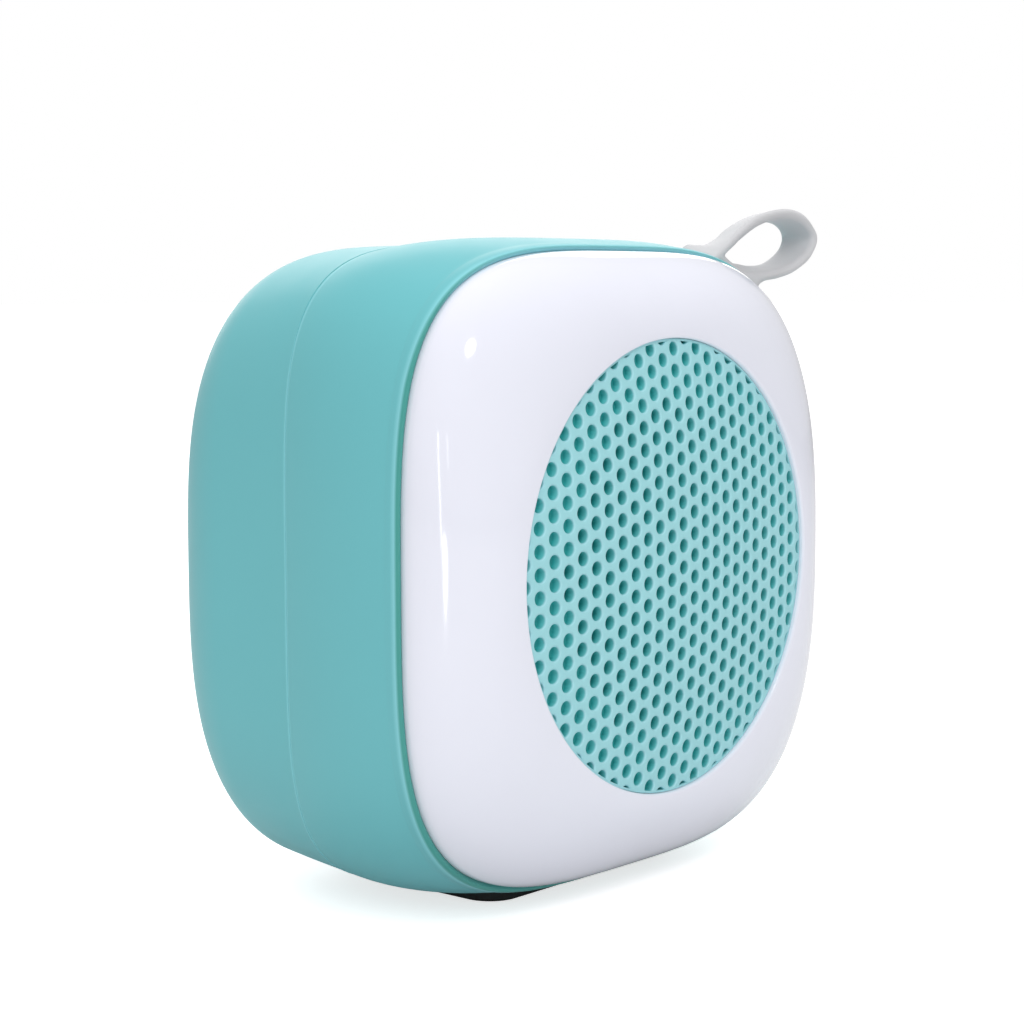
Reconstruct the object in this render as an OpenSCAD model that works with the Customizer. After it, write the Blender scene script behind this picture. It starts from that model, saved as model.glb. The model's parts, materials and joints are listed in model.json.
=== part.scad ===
// Portable speaker: a pillow-shaped two-piece case with a domed bezel, a round grille,
// one driver, a battery, two circuit boards and a soft carry loop.
// It stands on its base pad. The front faces -Y, and X runs to the right of the front.
// Depths ("d") count from the tip of the grille's dome towards the back.
// Heights ("z") inside the case count from the middle of the front.

/* [Case] */
// Half of the width and height at the shells' sides, without the bulge
case_half = 37.1; // [36:0.1:39]
// Depth from the grille's tip to the flat back
case_depth = 51; // [50:0.5:54]
// How far the front shell's sides bulge
front_bulge = 0.7; // [0.2:0.05:1.2]
// Wall thickness of both shells
wall = 2.2; // [1.8:0.1:2.4]
// Rounding of the back edge
back_round = 12.5; // [11:0.5:14]
// Depth of the seam between the two shells
seam_d = 27; // [26:0.5:28]

/* [Bezel and grille] */
// Half of the bezel's width and height
bezel_half = 36.2; // [36:0.1:36.4]
// Radius of the bezel's round opening
opening_r = 26.2; // [25.8:0.1:26.4]
// Spacing of the grille's holes
hole_pitch = 2.5; // [2.2:0.1:3]
// Radius of a grille hole
hole_r = 0.8; // [0.6:0.05:0.9]

/* [Carry loop] */
// Width of the band, along the case's depth
strap_width = 5.4; // [5:0.1:5.8]
// Radius of the steel pin that holds it
pin_r = 0.9; // [0.7:0.1:1]

/* [Base pad] */
// Width of the pad, from left to right
pad_width = 34; // [28:1:36]
// Depth of the pad, from front to back
pad_length = 22; // [18:1:24]
// How far the pad stands below the case
pad_proud = 0.8; // [0.6:0.1:1.2]

/* [Back controls] */
// Spacing of the three keys
key_pitch = 13; // [12:0.5:14]
// Radius of a key cap
key_r = 4; // [3:0.1:4.2]
// Radius of the audio socket's bore
aux_r = 1.8; // [1.76:0.01:1.85]

/* [Hidden] */

$fn = 48;

// Colours
teal = "#70b9be";
light_teal = "#87c9d0";
deep_teal = "#1f6e70";
white = "#eceef7";
pale_grey = "#d6d8dc";
steel = "#b4b7bb";
dark = "#2b2d30";
board_green = "#1d5a3c";
gold = "#c9a24a";

// Small gaps
fit_gap = 0.2;
thin_gap = 0.05;

// Number of segments round the case
segments = 96;

// Case sections: how square each one is, where 2 is a circle
bezel_n = 3.55;
seam_n = 4.55;
round_n = 3.75;
back_n = 2.9;

// Case depths
bezel_edge_d = 9.35;
bezel_foot_d = 11.4;
lip_d = 10.1;
lip_width = 0.45;
side_start_d = 12;
deck_d = 11.5;
deck_thickness = 1.5;
seam_groove = 0.2;
tongue = 1.2;
round_start_d = case_depth - back_round;
inner_half = case_half - wall;
back_inner_d = case_depth - wall;
centre_z = case_half + front_bulge + pad_proud;

// Bezel profile: a quarter of a superellipse between its edge and its opening
bezel_curve = 1.71;
opening_d = 1.3;
bezel_wall = 1.8;
bezel_inner_opening_d = 3.5;
bezel_post_r = 1.2;
bezel_post_at = 33;

// Grille
dome_radius = 192;
grille_thickness = 1.6;
grille_r = opening_r - fit_gap;
grille_hollow_r = 24.6;
grille_flange_r = 27.8;
grille_flange_d = 4.2;
grille_back_d = 5.2;
through_r = 19.8;
dimple_depth = 1.3;

// Baffle and the drum round it, both part of the front shell
baffle_d = 5.45;
baffle_thickness = 2;
baffle_back_d = baffle_d + baffle_thickness;
baffle_opening_r = 21;
drum_r = 29.5;
drum_wall = 2;

// Case screws
case_screw_at = 22;
case_screw_r = 1.1;
case_screw_head_r = 2.4;
well_r = 2.9;
well_floor_d = 38;
front_boss_r = 3.6;
back_boss_r = 4.2;

// Driver
frame_d = baffle_back_d + 0.8;
frame_flange_r = 22.8;
frame_thickness = 0.8;
ear_at = 24.8;
ear_r = 2.4;
driver_screw_r = 0.8;
basket_floor_d = 17.5;
window_d = frame_d + 1.6;
plate_d = 18.5;
plate_thickness = 3;
magnet_d = plate_d + plate_thickness;
magnet_thickness = 7;
yoke_d = magnet_d + magnet_thickness;
yoke_thickness = 3;
yoke_back_d = yoke_d + yoke_thickness;
pole_r = 6.35;
gap_r = 7.2;
former_r = 6.55;
former_thickness = 0.12;
winding_r = 6.95;

// Battery, stuck behind the yoke
tape_thickness = 1;
battery_d = yoke_back_d + tape_thickness;
battery_thickness = 5.5;
battery_half_width = 18;
battery_low_z = -7;
battery_high_z = 18;
battery_corner = 1.5;

// Boards
board_z = -15;
board_thickness = 1.2;
board_top_z = board_z + board_thickness;
board_half_width = 25;
board_front_d = 33;
board_back_d = 48.4;
key_board_d = 41.5;
key_board_thickness = 1;
key_board_back_d = key_board_d + key_board_thickness;
key_board_half_width = 20.5;
key_z = 9.5;
key_screw_at = 18.2;
key_screw_z = 1.5;
board_screw_r = 0.8;

// Key stack, from the board to the cap
key_travel = 0.3;
tact_d = key_board_back_d;
tact_height = 3.5;
plunger_r = 1.7;
plunger_inset = 1.2;
plunger_tip_d = tact_d + tact_height + 1;
key_stem_r = 1.5;
key_flange_d = 47.7;
key_flange_thickness = 0.9;
key_flange_r = key_r + 1.1;
key_proud = 0.6;
key_gap = 0.25;

// Sockets in the back
aux_x = 17;
aux_z = -11.2;
usb_x = 5;
usb_z = -12.3;
usb_width = 7.6;
usb_height = 2.7;
usb_wall = 0.3;
card_x = -7;
card_width = 12;
card_height = 1.7;
switch_x = -18;
switch_z = -11.9;
switch_travel = 2;
led_x = -6.5;
led_z = -0.5;
mic_x = 6.5;
mic_z = -0.5;

// Base pad
pad_corner = 4;
pad_top_z = 2.1;

// Carry loop. The band's edges are closed smooth curves through [x, z] points that start at its
// left foot, run over the top to the tip and come back under it and along the shell.
strap_d = 12.5;
strap_outer_front = [[22.8, 35.4], [24.2, 36.5], [26, 37.8], [28.2, 39.2], [32, 41], [36.3, 41.9],
    [40.5, 42], [44, 40.9], [46.2, 38.5], [44.8, 35.9], [41, 34], [37.2, 33.1], [34.2, 32.7],
    [32.6, 31.9], [31.5, 30.2], [29.2, 32.05], [26.4, 33.85], [24.6, 34.65]];
strap_inner_front = [[25.4, 35.9], [25.9, 36.4], [27.3, 37.2], [29, 38.2], [32.6, 39.8],
    [36.6, 40.7], [40.2, 40.8], [43.2, 40], [45, 38.5], [43.9, 36.8], [40.5, 35.1], [37, 34.3],
    [33.9, 33.9], [32.2, 33.8], [30.8, 33.8], [29.3, 34], [27.6, 34.7], [26.1, 35.4]];
strap_outer_rear = [[22.9, 36.55], [23.8, 37.4], [26.6, 37.2], [29.4, 37.8], [32.4, 39.4],
    [36.6, 40.9], [40.6, 41.6], [44.1, 41.1], [46.2, 38.6], [44.7, 35.8], [40.9, 34], [37.5, 33.5],
    [35, 33.6], [33.8, 33], [32.6, 31.3], [30.3, 33.1], [27.4, 34.9], [25.2, 35.8]];
strap_inner_rear = [[28, 36.1], [28.5, 36.3], [29.3, 36.6], [30.4, 37.1], [32.9, 38.4],
    [36.8, 39.7], [40.3, 40.4], [43.2, 40.1], [45, 38.6], [43.8, 36.7], [40.5, 35.1], [37.2, 34.8],
    [34.5, 35.1], [33, 35.2], [31.7, 35.2], [30.4, 35.3], [29.3, 35.5], [28.5, 35.8]];
strap_steps = 3;
strap_tilt = 25;
pin_x = 23.7;
pin_z = 29.4;
eye_r = 1.9;
tongue_d = strap_d + 1;
tongue_width = 4;
tongue_thickness = 1.6;
tongue_length = 6;
pin_front_d = 12.2;
pin_block_d = tongue_d + tongue_width + 0.4;

// Leads, as [x, d, z] through the case
lead_r = 0.55;
lead_sides = 8;
lead_side = [0.8, 0.2, 1];
battery_red_route = [[9, 35.2, 18.1], [9, 35.2, 19.4], [9, 35.8, 21], [9, 37.3, 21.7],
    [9, 38.8, 20.9], [9, 39.6, 19], [9, 39.7, 14], [9, 39.7, 8], [9, 39.7, 2], [9, 40, -2.5],
    [9, 40.5, -4.8], [9, 40.5, -6.4]];
battery_black_route = [for (p = battery_red_route) p + [2, 0, 0]];
speaker_red_route = [[-3, 14, -23], [-3.2, 15.5, -23], [-4.6, 18, -23.6], [-7, 21, -23.7],
    [-10.5, 24, -23], [-14, 27, -21.5], [-17, 29.5, -19], [-18.6, 31, -15.5], [-19, 31.5, -12.5],
    [-19, 32.6, -11.1], [-19, 33.9, -11.1]];
speaker_black_route = [[3, 14, -23], [2.8, 15.5, -23], [1.4, 18.5, -24.2], [-1.5, 22, -25.2],
    [-6, 25.5, -25.2], [-11, 28, -23.5], [-14.5, 30, -20.5], [-16.6, 31, -16.5],
    [-17, 31.5, -12.8], [-17, 32.6, -11.1], [-17, 33.9, -11.1]];

// ---- Helpers ----

// Y of a depth behind the grille's tip
function at(d) = d - case_depth / 2;

function mix(a, b, t) = a + (b - a) * t;

// Distance from the middle to a squircle's edge at an angle
function squircle_radius(half, n, angle) =
    half / pow(pow(abs(cos(angle)), n) + pow(abs(sin(angle)), n), 1 / n);

// One closed section of the case: [depth, half size, squareness] to points
function section(s) = [for (i = [0 : segments - 1])
    let (angle = 360 * i / segments, r = squircle_radius(s[1], s[2], angle))
    [r * cos(angle), at(s[0]), centre_z + r * sin(angle)]];

// Half size of the front shell's side from its lip (0) to the seam (1)
function front_side(t, inset) =
    [mix(side_start_d, seam_d, t), case_half - inset + 4 * front_bulge * t * (1 - t),
        mix(bezel_n, seam_n, t)];

// Section of the front lip's rounding, by angle from the side (0) to the front (90)
function lip(angle) =
    [mix(side_start_d, lip_d, sin(angle)), case_half - lip_width * (1 - cos(angle)), bezel_n];

// Section of the back edge's rounding, by angle from the side (0) to the back (90)
function back_edge(angle, inset) =
    [round_start_d + (back_round - inset) * sin(angle),
        case_half - back_round + (back_round - inset) * cos(angle),
        mix(round_n, back_n, sin(angle))];

// Section of the bezel's dome from its edge (0) to its opening (1)
function bezel_dome(t, edge_d, edge_half, end_d) =
    [mix(edge_d, end_d, t),
        opening_r + (edge_half - opening_r) * pow(1 - pow(t, bezel_curve), 1 / bezel_curve),
        2 + (bezel_n - 2) * sqrt(1 - t)];

// Skin over rings of points with equal counts, capped at both ends or joined end to end
module skin(rings, closed = false) {
    count = len(rings);
    size = len(rings[0]);
    last = closed ? count - 1 : count - 2;
    sides = [for (i = [0 : last], j = [0 : size - 1])
        let (k = (i + 1) % count, m = (j + 1) % size)
        [i * size + j, k * size + j, k * size + m, i * size + m]];
    caps = closed ? [] : [
        [for (j = [0 : size - 1]) j],
        [for (j = [size - 1 : -1 : 0]) (count - 1) * size + j]];
    polyhedron([for (ring = rings, p = ring) p], concat(sides, caps), convexity = 8);
}

module loft(sections, closed = true) {
    skin([for (s = sections) section(s)], closed);
}

// Round bar along the case's depth
module rod(x, z, d0, d1, r) {
    translate([x, at(d0), centre_z + z])
        rotate([-90, 0, 0])
            cylinder(h = d1 - d0, r = r);
}

// Solid of revolution about the driver's axis, from [radius, depth] points
module turned(points) {
    translate([0, at(0), centre_z])
        rotate([-90, 0, 0])
            rotate_extrude($fn = 96)
                polygon(points);
}

module ring(r0, r1, d0, d1) {
    turned([[r0, d0], [r1, d0], [r1, d1], [r0, d1]]);
}

module block(x, d, z) {
    translate([x[0], at(d[0]), centre_z + z[0]])
        cube([x[1] - x[0], d[1] - d[0], z[1] - z[0]]);
}

// Block of a width and height about a middle, between two depths
module slab(x, z, width, height, d0, d1) {
    block([x - width / 2, x + width / 2], [d0, d1], [z - height / 2, z + height / 2]);
}

module each_corner(distance) {
    for (sx = [-1, 1], sz = [-1, 1])
        translate([sx * distance, 0, sz * distance])
            children();
}

module each_key() {
    for (i = [-1 : 1])
        translate([i * key_pitch, 0, 0])
            children();
}

// Flat plate with round corners, lying in XY from z = 0
module rounded_plate(width, length, height, r) {
    linear_extrude(height) {
        square([width, length - 2 * r], center = true);
        square([width - 2 * r, length], center = true);
        for (sx = [-1, 1], sy = [-1, 1])
            translate([sx * (width / 2 - r), sy * (length / 2 - r)])
                circle(r);
    }
}

// Flat strip of a thickness whose edge runs along [depth, z] points, between two x
module bent_strip(points, thickness, x0, x1) {
    back = [for (i = [len(points) - 1 : -1 : 0]) points[i] + [0, 0] + thickness * strip_normal(points, i)];
    translate([x0, 0, centre_z])
        rotate([90, 0, 90])
            linear_extrude(x1 - x0)
                polygon([for (p = concat(points, back)) [at(p[0]), p[1]]]);
}

function strip_normal(points, i) =
    let (a = points[max(i - 1, 0)], b = points[min(i + 1, len(points) - 1)],
        t = (b - a) / norm(b - a))
    [-t[1], t[0]];

// Point of a smooth closed curve, between its route's points i and i + 1
function smooth_point(route, i, t) =
    let (n = len(route), p0 = route[(i + n - 1) % n], p1 = route[i], p2 = route[(i + 1) % n],
        p3 = route[(i + 2) % n])
    0.5 * (2 * p1 + (p2 - p0) * t + (2 * p0 - 5 * p1 + 4 * p2 - p3) * t * t
        + (3 * p1 - p0 - 3 * p2 + p3) * t * t * t);

// Smooth closed edge of the carry loop, at a depth
function strap_edge(route, d) =
    [for (i = [0 : len(route) - 1], k = [0 : strap_steps - 1])
        let (p = smooth_point(route, i, k / strap_steps))
        [p[0], at(d), centre_z + p[1]]];

// Tube of round section along a route of [x, d, z] points
module lead(route) {
    path = [for (p = route) [p[0], at(p[1]), centre_z + p[2]]];
    last = len(path) - 1;
    skin([for (i = [0 : last])
        let (t = path[min(i + 1, last)] - path[max(i - 1, 0)], along = t / norm(t),
            side = cross(along, lead_side), u = side / norm(side), v = cross(along, u))
        [for (j = [0 : lead_sides - 1])
            let (angle = 360 * j / lead_sides)
            path[i] + lead_r * (cos(angle) * u + sin(angle) * v)]]);
}

// ---- Case ----

module front_bezel() {
    color(white) {
        loft(concat(
            [for (t = [0, 0.1, 0.25, 0.4, 0.55, 0.7, 0.8, 0.88, 0.94, 0.98, 1])
                bezel_dome(t, bezel_edge_d, bezel_half, opening_d)],
            [for (t = [1, 0.95, 0.88, 0.75, 0.5, 0.25, 0])
                bezel_dome(t, bezel_foot_d, bezel_half - bezel_wall, bezel_inner_opening_d)],
            [[bezel_foot_d, bezel_half, bezel_n]]));
        for (p = [[1, 0], [-1, 0], [0, 1], [0, -1]])
            rod(bezel_post_at * p[0], bezel_post_at * p[1], 7, deck_d + deck_thickness + 0.6,
                bezel_post_r);
    }
}

// Depth of the grille's front face at a radius
function dome_d(r) = dome_radius - sqrt(dome_radius * dome_radius - r * r);

module grille_holes(inner, outer, depth) {
    columns = ceil(outer / (hole_pitch * sqrt(3) / 2));
    rows = ceil(outer / hole_pitch) + 1;
    for (c = [-columns : columns], r = [-rows : rows]) {
        x = c * hole_pitch * sqrt(3) / 2;
        z = (r + (c % 2 == 0 ? 0 : 0.5)) * hole_pitch;
        distance = norm([x, z]);
        if (distance >= inner && distance < outer)
            rod(x, z, -1, depth + dome_d(distance), hole_r, $fn = 24);
    }
}

module grille() {
    fractions = [for (i = [0 : 8]) i / 8];
    front = [for (f = fractions) [f * grille_r, dome_d(f * grille_r)]];
    hollow = [for (f = fractions)
        let (r = (1 - f) * grille_hollow_r)
        [r, dome_d(r) + grille_thickness]];
    color(light_teal)
        difference() {
            turned(concat(front,
                [[grille_r, grille_flange_d], [grille_flange_r, grille_flange_d],
                    [grille_flange_r, grille_back_d], [grille_hollow_r, grille_back_d]],
                hollow));
            grille_holes(0, through_r, grille_back_d);
            grille_holes(through_r, grille_r - hole_r, dimple_depth);
        }
}

module front_shell_body() {
    deck_back_d = deck_d + deck_thickness;
    inside = [for (t = [0.15, 0.5]) front_side(t, wall)];
    loft(concat(
        [[deck_d, bezel_half + fit_gap, bezel_n], [deck_d, drum_r, 2], [baffle_d, drum_r, 2],
            [baffle_d, baffle_opening_r, 2], [baffle_back_d, baffle_opening_r, 2],
            [baffle_back_d, drum_r - drum_wall, 2], [deck_back_d, drum_r - drum_wall, 2],
            [deck_back_d, inner_half, bezel_n]],
        inside,
        [[seam_d + tongue, inner_half, seam_n], [seam_d + tongue, case_half - wall / 2, seam_n],
            [seam_d, case_half - wall / 2, seam_n], [seam_d, case_half - seam_groove, seam_n],
            [seam_d - seam_groove, case_half, seam_n]],
        [for (t = [0.8 : -0.2 : 0]) front_side(t, 0)],
        [for (angle = [30 : 30 : 90]) lip(angle)],
        [[lip_d, bezel_half + fit_gap, bezel_n]]));
}

module pad_pocket() {
    translate([0, 0, -1])
        rounded_plate(pad_width + 2 * fit_gap, pad_length + 2 * fit_gap,
            pad_top_z + 1 + thin_gap, pad_corner + fit_gap);
}

module strap_slot() {
    along_tongue()
        translate([-tongue_thickness / 2 - fit_gap, -fit_gap, eye_r])
            cube([tongue_thickness + 2 * fit_gap, tongue_width + 2 * fit_gap,
                tongue_length]);
}

module front_shell() {
    color(teal)
        difference() {
            union() {
                front_shell_body();
                each_corner(case_screw_at)
                    rod(0, 0, deck_d + 0.5, seam_d, front_boss_r);
                for (a = [45 : 90 : 315])
                    rod(ear_at * cos(a), ear_at * sin(a), baffle_back_d - 0.5, frame_d, 2.2);
                slab(pin_x, pin_z + 1.8, 4, 7.2, pin_block_d, pin_block_d + 2);
            }
            each_corner(case_screw_at)
                rod(0, 0, seam_d - 12, seam_d + 1, case_screw_r);
            for (a = [45 : 90 : 315])
                rod(ear_at * cos(a), ear_at * sin(a), frame_d - 2.2, frame_d + 1, driver_screw_r);
            for (p = [[1, 0], [-1, 0], [0, 1], [0, -1]])
                rod(bezel_post_at * p[0], bezel_post_at * p[1], deck_d - 1,
                    deck_d + deck_thickness + 1, bezel_post_r + 0.1);
            rod(pin_x, pin_z, pin_front_d - thin_gap, pin_block_d + 1.5, pin_r + thin_gap);
            strap_slot();
            pad_pocket();
        }
}

module back_shell_body() {
    outer = concat([for (angle = [90 : -15 : 0]) back_edge(angle, 0)],
        [[seam_d + seam_groove, case_half, seam_n], [seam_d, case_half - seam_groove, seam_n]]);
    rebate = [[seam_d, case_half - wall / 2 + 0.15, seam_n],
        [seam_d + tongue + 0.15, case_half - wall / 2 + 0.15, seam_n],
        [seam_d + tongue + 0.15, inner_half, seam_n]];
    inner = [for (angle = [0 : 18 : 90]) back_edge(angle, wall)];
    loft(concat(outer, rebate, inner), closed = false);
}

// Rib on a side wall, with a groove that holds an edge of the main board. Its outline runs
// inside the wall.
module board_rail(side) {
    inner_x = board_half_width - 0.9;
    round_r = back_round - wall / 2;
    outline = concat(
        [[inner_x, board_front_d], [case_half - wall / 2, board_front_d]],
        [for (angle = [0 : 15 : 90])
            [case_half - back_round + round_r * cos(angle),
                round_start_d + round_r * sin(angle)]],
        [[inner_x, round_start_d + round_r]]);
    mirror([side < 0 ? 1 : 0, 0, 0])
        difference() {
            translate([0, 0, centre_z + board_z - 2])
                linear_extrude(board_thickness + 4)
                    polygon([for (p = outline) [p[0], at(p[1])]]);
            block([inner_x - 1, board_half_width + 0.1], [board_front_d - 1, board_back_d + 0.1],
                [board_z - thin_gap, board_top_z + thin_gap]);
        }
}

module back_openings() {
    far = case_depth + 1;
    near = back_inner_d - 1;
    each_key()
        rod(0, key_z, near, far, key_r + key_gap);
    rod(led_x, led_z, near, far, 1.2 + thin_gap);
    rod(mic_x, mic_z, near, far, 0.7);
    rod(aux_x, aux_z, near, far, 3.1);
    slab(usb_x, usb_z, usb_width + 0.6, usb_height + 0.6, near, far);
    slab(card_x, board_top_z + card_height / 2, card_width + 0.2, card_height + 0.2, near, far);
    slab(switch_x, switch_z, 6.8, 3.2, near, far);
}

module back_shell() {
    color(teal)
        difference() {
            union() {
                back_shell_body();
                each_corner(case_screw_at)
                    rod(0, 0, seam_d + 0.1, back_inner_d + thin_gap, back_boss_r);
                for (side = [-1, 1]) {
                    rod(side * key_screw_at, key_screw_z, key_board_back_d, back_inner_d + 0.5, 2);
                    board_rail(side);
                }
            }
            each_corner(case_screw_at) {
                rod(0, 0, seam_d - 1, well_floor_d + 1, case_screw_r + 0.25);
                rod(0, 0, well_floor_d, case_depth + 1, well_r);
            }
            for (side = [-1, 1])
                rod(side * key_screw_at, key_screw_z, key_board_back_d - 1,
                    key_board_back_d + 5, board_screw_r);
            back_openings();
            pad_pocket();
        }
}

module base_pad() {
    edge = 0.3;
    color(dark) {
        rounded_plate(pad_width - 2 * edge, pad_length - 2 * edge, edge, pad_corner - edge);
        translate([0, 0, edge])
            rounded_plate(pad_width, pad_length, pad_top_z - edge, pad_corner);
    }
}

// Screw along the depth, with its head at d0 or, when reversed, its tip at d0
module screw(x, z, head_d, tip_d, r, head_r, head_height) {
    dir = tip_d > head_d ? 1 : -1;
    head_far = head_d - dir * head_height;
    difference() {
        union() {
            rod(x, z, min(head_d, tip_d), max(head_d, tip_d), r);
            rod(x, z, min(head_d, head_far), max(head_d, head_far), head_r);
        }
        for (turn = [0, 90])
            translate([x, at(head_far), centre_z + z])
                rotate([0, turn, 0])
                    cube([head_r * 1.3, head_height, head_r * 0.28], center = true);
    }
}

module case_screws() {
    color(steel)
        for (sx = [-1, 1], sz = [-1, 1])
            screw(sx * case_screw_at, sz * case_screw_at, well_floor_d, 16, case_screw_r,
                case_screw_head_r, 1.8);
}

// ---- Carry loop ----

module strap() {
    rear_d = strap_d + strap_width;
    color(pale_grey) {
        skin([strap_edge(strap_outer_front, strap_d), strap_edge(strap_outer_rear, rear_d),
            strap_edge(strap_inner_rear, rear_d), strap_edge(strap_inner_front, strap_d)],
            closed = true);
        difference() {
            union() {
                rod(pin_x, pin_z, tongue_d, tongue_d + tongue_width, eye_r);
                along_tongue()
                    translate([-tongue_thickness / 2, 0, 0])
                        cube([tongue_thickness, tongue_width, tongue_length]);
            }
            rod(pin_x, pin_z, tongue_d - 1, tongue_d + tongue_width + 1, pin_r);
        }
    }
}

// From the pin, with Z out through the shell
module along_tongue() {
    translate([pin_x, at(tongue_d), centre_z + pin_z])
        rotate([0, strap_tilt, 0])
            children();
}

module strap_pin() {
    color(steel)
        rod(pin_x, pin_z, pin_front_d, pin_block_d + 1.4, pin_r);
}

// ---- Driver ----

module grille_cloth() {
    color(deep_teal)
        ring(0, 27, grille_back_d, grille_back_d + 0.2);
}

module driver_gasket() {
    color(dark)
        ring(baffle_opening_r + 0.2, 22.3, baffle_back_d, baffle_back_d + 0.4);
}

module driver_frame() {
    floor_r = 15.5;
    color(steel)
        difference() {
            union() {
                turned([[21.2, frame_d], [frame_flange_r, frame_d],
                    [frame_flange_r, frame_d + frame_thickness],
                    [floor_r + 0.6, basket_floor_d + 1], [9, basket_floor_d + 1],
                    [9, basket_floor_d], [13.4, basket_floor_d], [13.4, basket_floor_d - 1],
                    [floor_r - 0.3, basket_floor_d - 1]]);
                for (a = [45 : 90 : 315])
                    rotate_about_axis(a)
                        difference() {
                            union() {
                                rod(ear_at, 0, frame_d, frame_d + frame_thickness, ear_r);
                                block([frame_flange_r - 0.8, ear_at],
                                    [frame_d, frame_d + frame_thickness], [-ear_r, ear_r]);
                            }
                            rod(ear_at, 0, frame_d - 1, frame_d + 2, driver_screw_r + 0.15);
                        }
            }
            for (a = [0 : 90 : 270])
                rotate_about_axis(a)
                    block([floor_r + 0.7, 24], [window_d, basket_floor_d - 1.6], [-7, 7]);
        }
}

module rotate_about_axis(angle) {
    translate([0, 0, centre_z])
        rotate([0, -angle, 0])
            translate([0, 0, -centre_z])
                children();
}

module driver_screws() {
    color(steel)
        for (a = [45 : 90 : 315])
            screw(ear_at * cos(a), ear_at * sin(a), frame_d + frame_thickness, frame_d - 1.9,
                driver_screw_r, 1.7, 1.1);
}

// Half-roll edge of the cone
module surround() {
    roll_at = 19.1;
    roll_r = 1.5;
    skin = 0.35;
    angles = [for (a = [0 : 15 : 180]) a];
    outer = [for (a = angles) [roll_at + roll_r * cos(a), frame_d - skin - roll_r * sin(a)]];
    inner = [for (a = angles)
        [roll_at - (roll_r - skin) * cos(a), frame_d - skin - (roll_r - skin) * sin(a)]];
    color(dark)
        turned(concat([[22.2, frame_d - thin_gap], [22.2, frame_d - skin + thin_gap]], outer,
            [[16.8, frame_d - skin], [16.8, frame_d - thin_gap],
                [roll_at - roll_r + skin, frame_d - thin_gap]], inner,
            [[roll_at + roll_r - skin, frame_d - thin_gap]]));
}

module cone() {
    thickness = 0.35;
    neck_d = 14;
    color(dark)
        turned([[former_r + former_thickness, neck_d], [16.8, frame_d], [17.5, frame_d],
            [17.5, frame_d + thickness], [16.9, frame_d + thickness],
            [former_r + former_thickness, neck_d + 0.5]]);
}

module dust_cap() {
    radius = 10;
    base_r = 8;
    base_d = 13;
    top_d = base_d + sqrt(radius * radius - base_r * base_r) - radius;
    skin = 0.3;
    angles = [for (i = [0 : 8]) asin(base_r / radius) * i / 8];
    outer = [for (a = angles) [radius * sin(a), top_d + radius * (1 - cos(a))]];
    inner = [for (i = [8 : -1 : 0])
        [(radius - skin) * sin(angles[i]), top_d + radius - (radius - skin) * cos(angles[i])]];
    color(dark)
        turned(concat(outer, inner));
}

module voice_coil() {
    color("#b5683a") {
        ring(former_r, former_r + former_thickness, 13.4, 22.4);
        ring(former_r + former_thickness, winding_r, 18.2, 22.2);
    }
}

// Corrugated disc that centres the coil
module spider() {
    steps = 36;
    r0 = former_r + former_thickness + thin_gap;
    r1 = 15;
    wave = [for (i = [0 : steps])
        let (r = mix(r0, r1, i / steps), flat = r < 7.8 || r > 13.4 ? 0 : 1)
        [r, 16.1 + flat * 0.45 * sin((r - 7.8) * 360 / 1.4)]];
    color("#b98a4a")
        turned(concat(wave, [for (i = [steps : -1 : 0]) wave[i] + [0, 0.3]]));
}

module top_plate() {
    color(steel)
        ring(gap_r, 15, plate_d, plate_d + plate_thickness);
}

module magnet() {
    color(dark)
        ring(9, 16, magnet_d, magnet_d + magnet_thickness);
}

module yoke() {
    color(steel)
        turned([[0, plate_d - 0.2], [pole_r, plate_d - 0.2], [pole_r, yoke_d], [15, yoke_d],
            [15, yoke_back_d], [0, yoke_back_d]]);
}

module terminal_strip() {
    color(gold) {
        block([-6, 6], [window_d, 16.5], [-22.1, -21.2]);
        for (x = [-3, 3])
            block([x - 1.2, x + 1.2], [frame_d + 3, 15.8], [-22.4, -22.1]);
    }
}

// ---- Boards and sockets ----

module main_board() {
    color(board_green)
        block([-board_half_width, board_half_width], [board_front_d, board_back_d],
            [board_z, board_top_z]);
}

// Chip body under the main board, with legs along two sides
module chip(x, d, width, length, height, legs) {
    block([x - width / 2, x + width / 2], [d - length / 2, d + length / 2],
        [board_z - height, board_z]);
    for (i = [0 : legs - 1], side = [-1, 1]) {
        leg_d = d + length * ((i + 0.5) / legs - 0.5);
        leg_x = x + side * (width / 2 + 0.35);
        block([leg_x - 0.4, leg_x + 0.4], [leg_d - 0.2, leg_d + 0.2], [board_z - 0.25, board_z]);
    }
}

module bluetooth_chip() {
    color(dark)
        chip(-2, 40, 6, 8, 1.4, 8);
}

module amplifier_chip() {
    color(dark)
        chip(12, 40, 4, 5, 1.4, 4);
}

module crystal() {
    color(steel)
        block([-12, -8.8], [38.8, 41.3], [board_z - 0.8, board_z]);
}

module capacitors() {
    color(steel)
        for (x = [3, 8.4])
            translate([x, at(36), centre_z + board_top_z])
                cylinder(h = 5, r = 2);
}

module usb_shell() {
    d0 = 45;
    d1 = case_depth - 0.3;
    color(steel)
        difference() {
            slab(usb_x, usb_z, usb_width, usb_height, d0, d1);
            slab(usb_x, usb_z, usb_width - 2 * usb_wall, usb_height - 2 * usb_wall, d0 + 0.5,
                d1 + 1);
        }
}

module usb_tongue() {
    color(dark)
        slab(usb_x, usb_z + 0.35, 5, 0.6, 45.5, case_depth - 1);
}

module aux_jack() {
    color(dark)
        difference() {
            union() {
                block([aux_x - 3.1, aux_x + 3.1], [36.5, 48.6],
                    [board_top_z, board_top_z + 5.2]);
                rod(aux_x, aux_z, board_back_d + 0.1, case_depth - 0.2, 2.9);
            }
            rod(aux_x, aux_z, 38, case_depth + 1, aux_r);
        }
}

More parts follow.
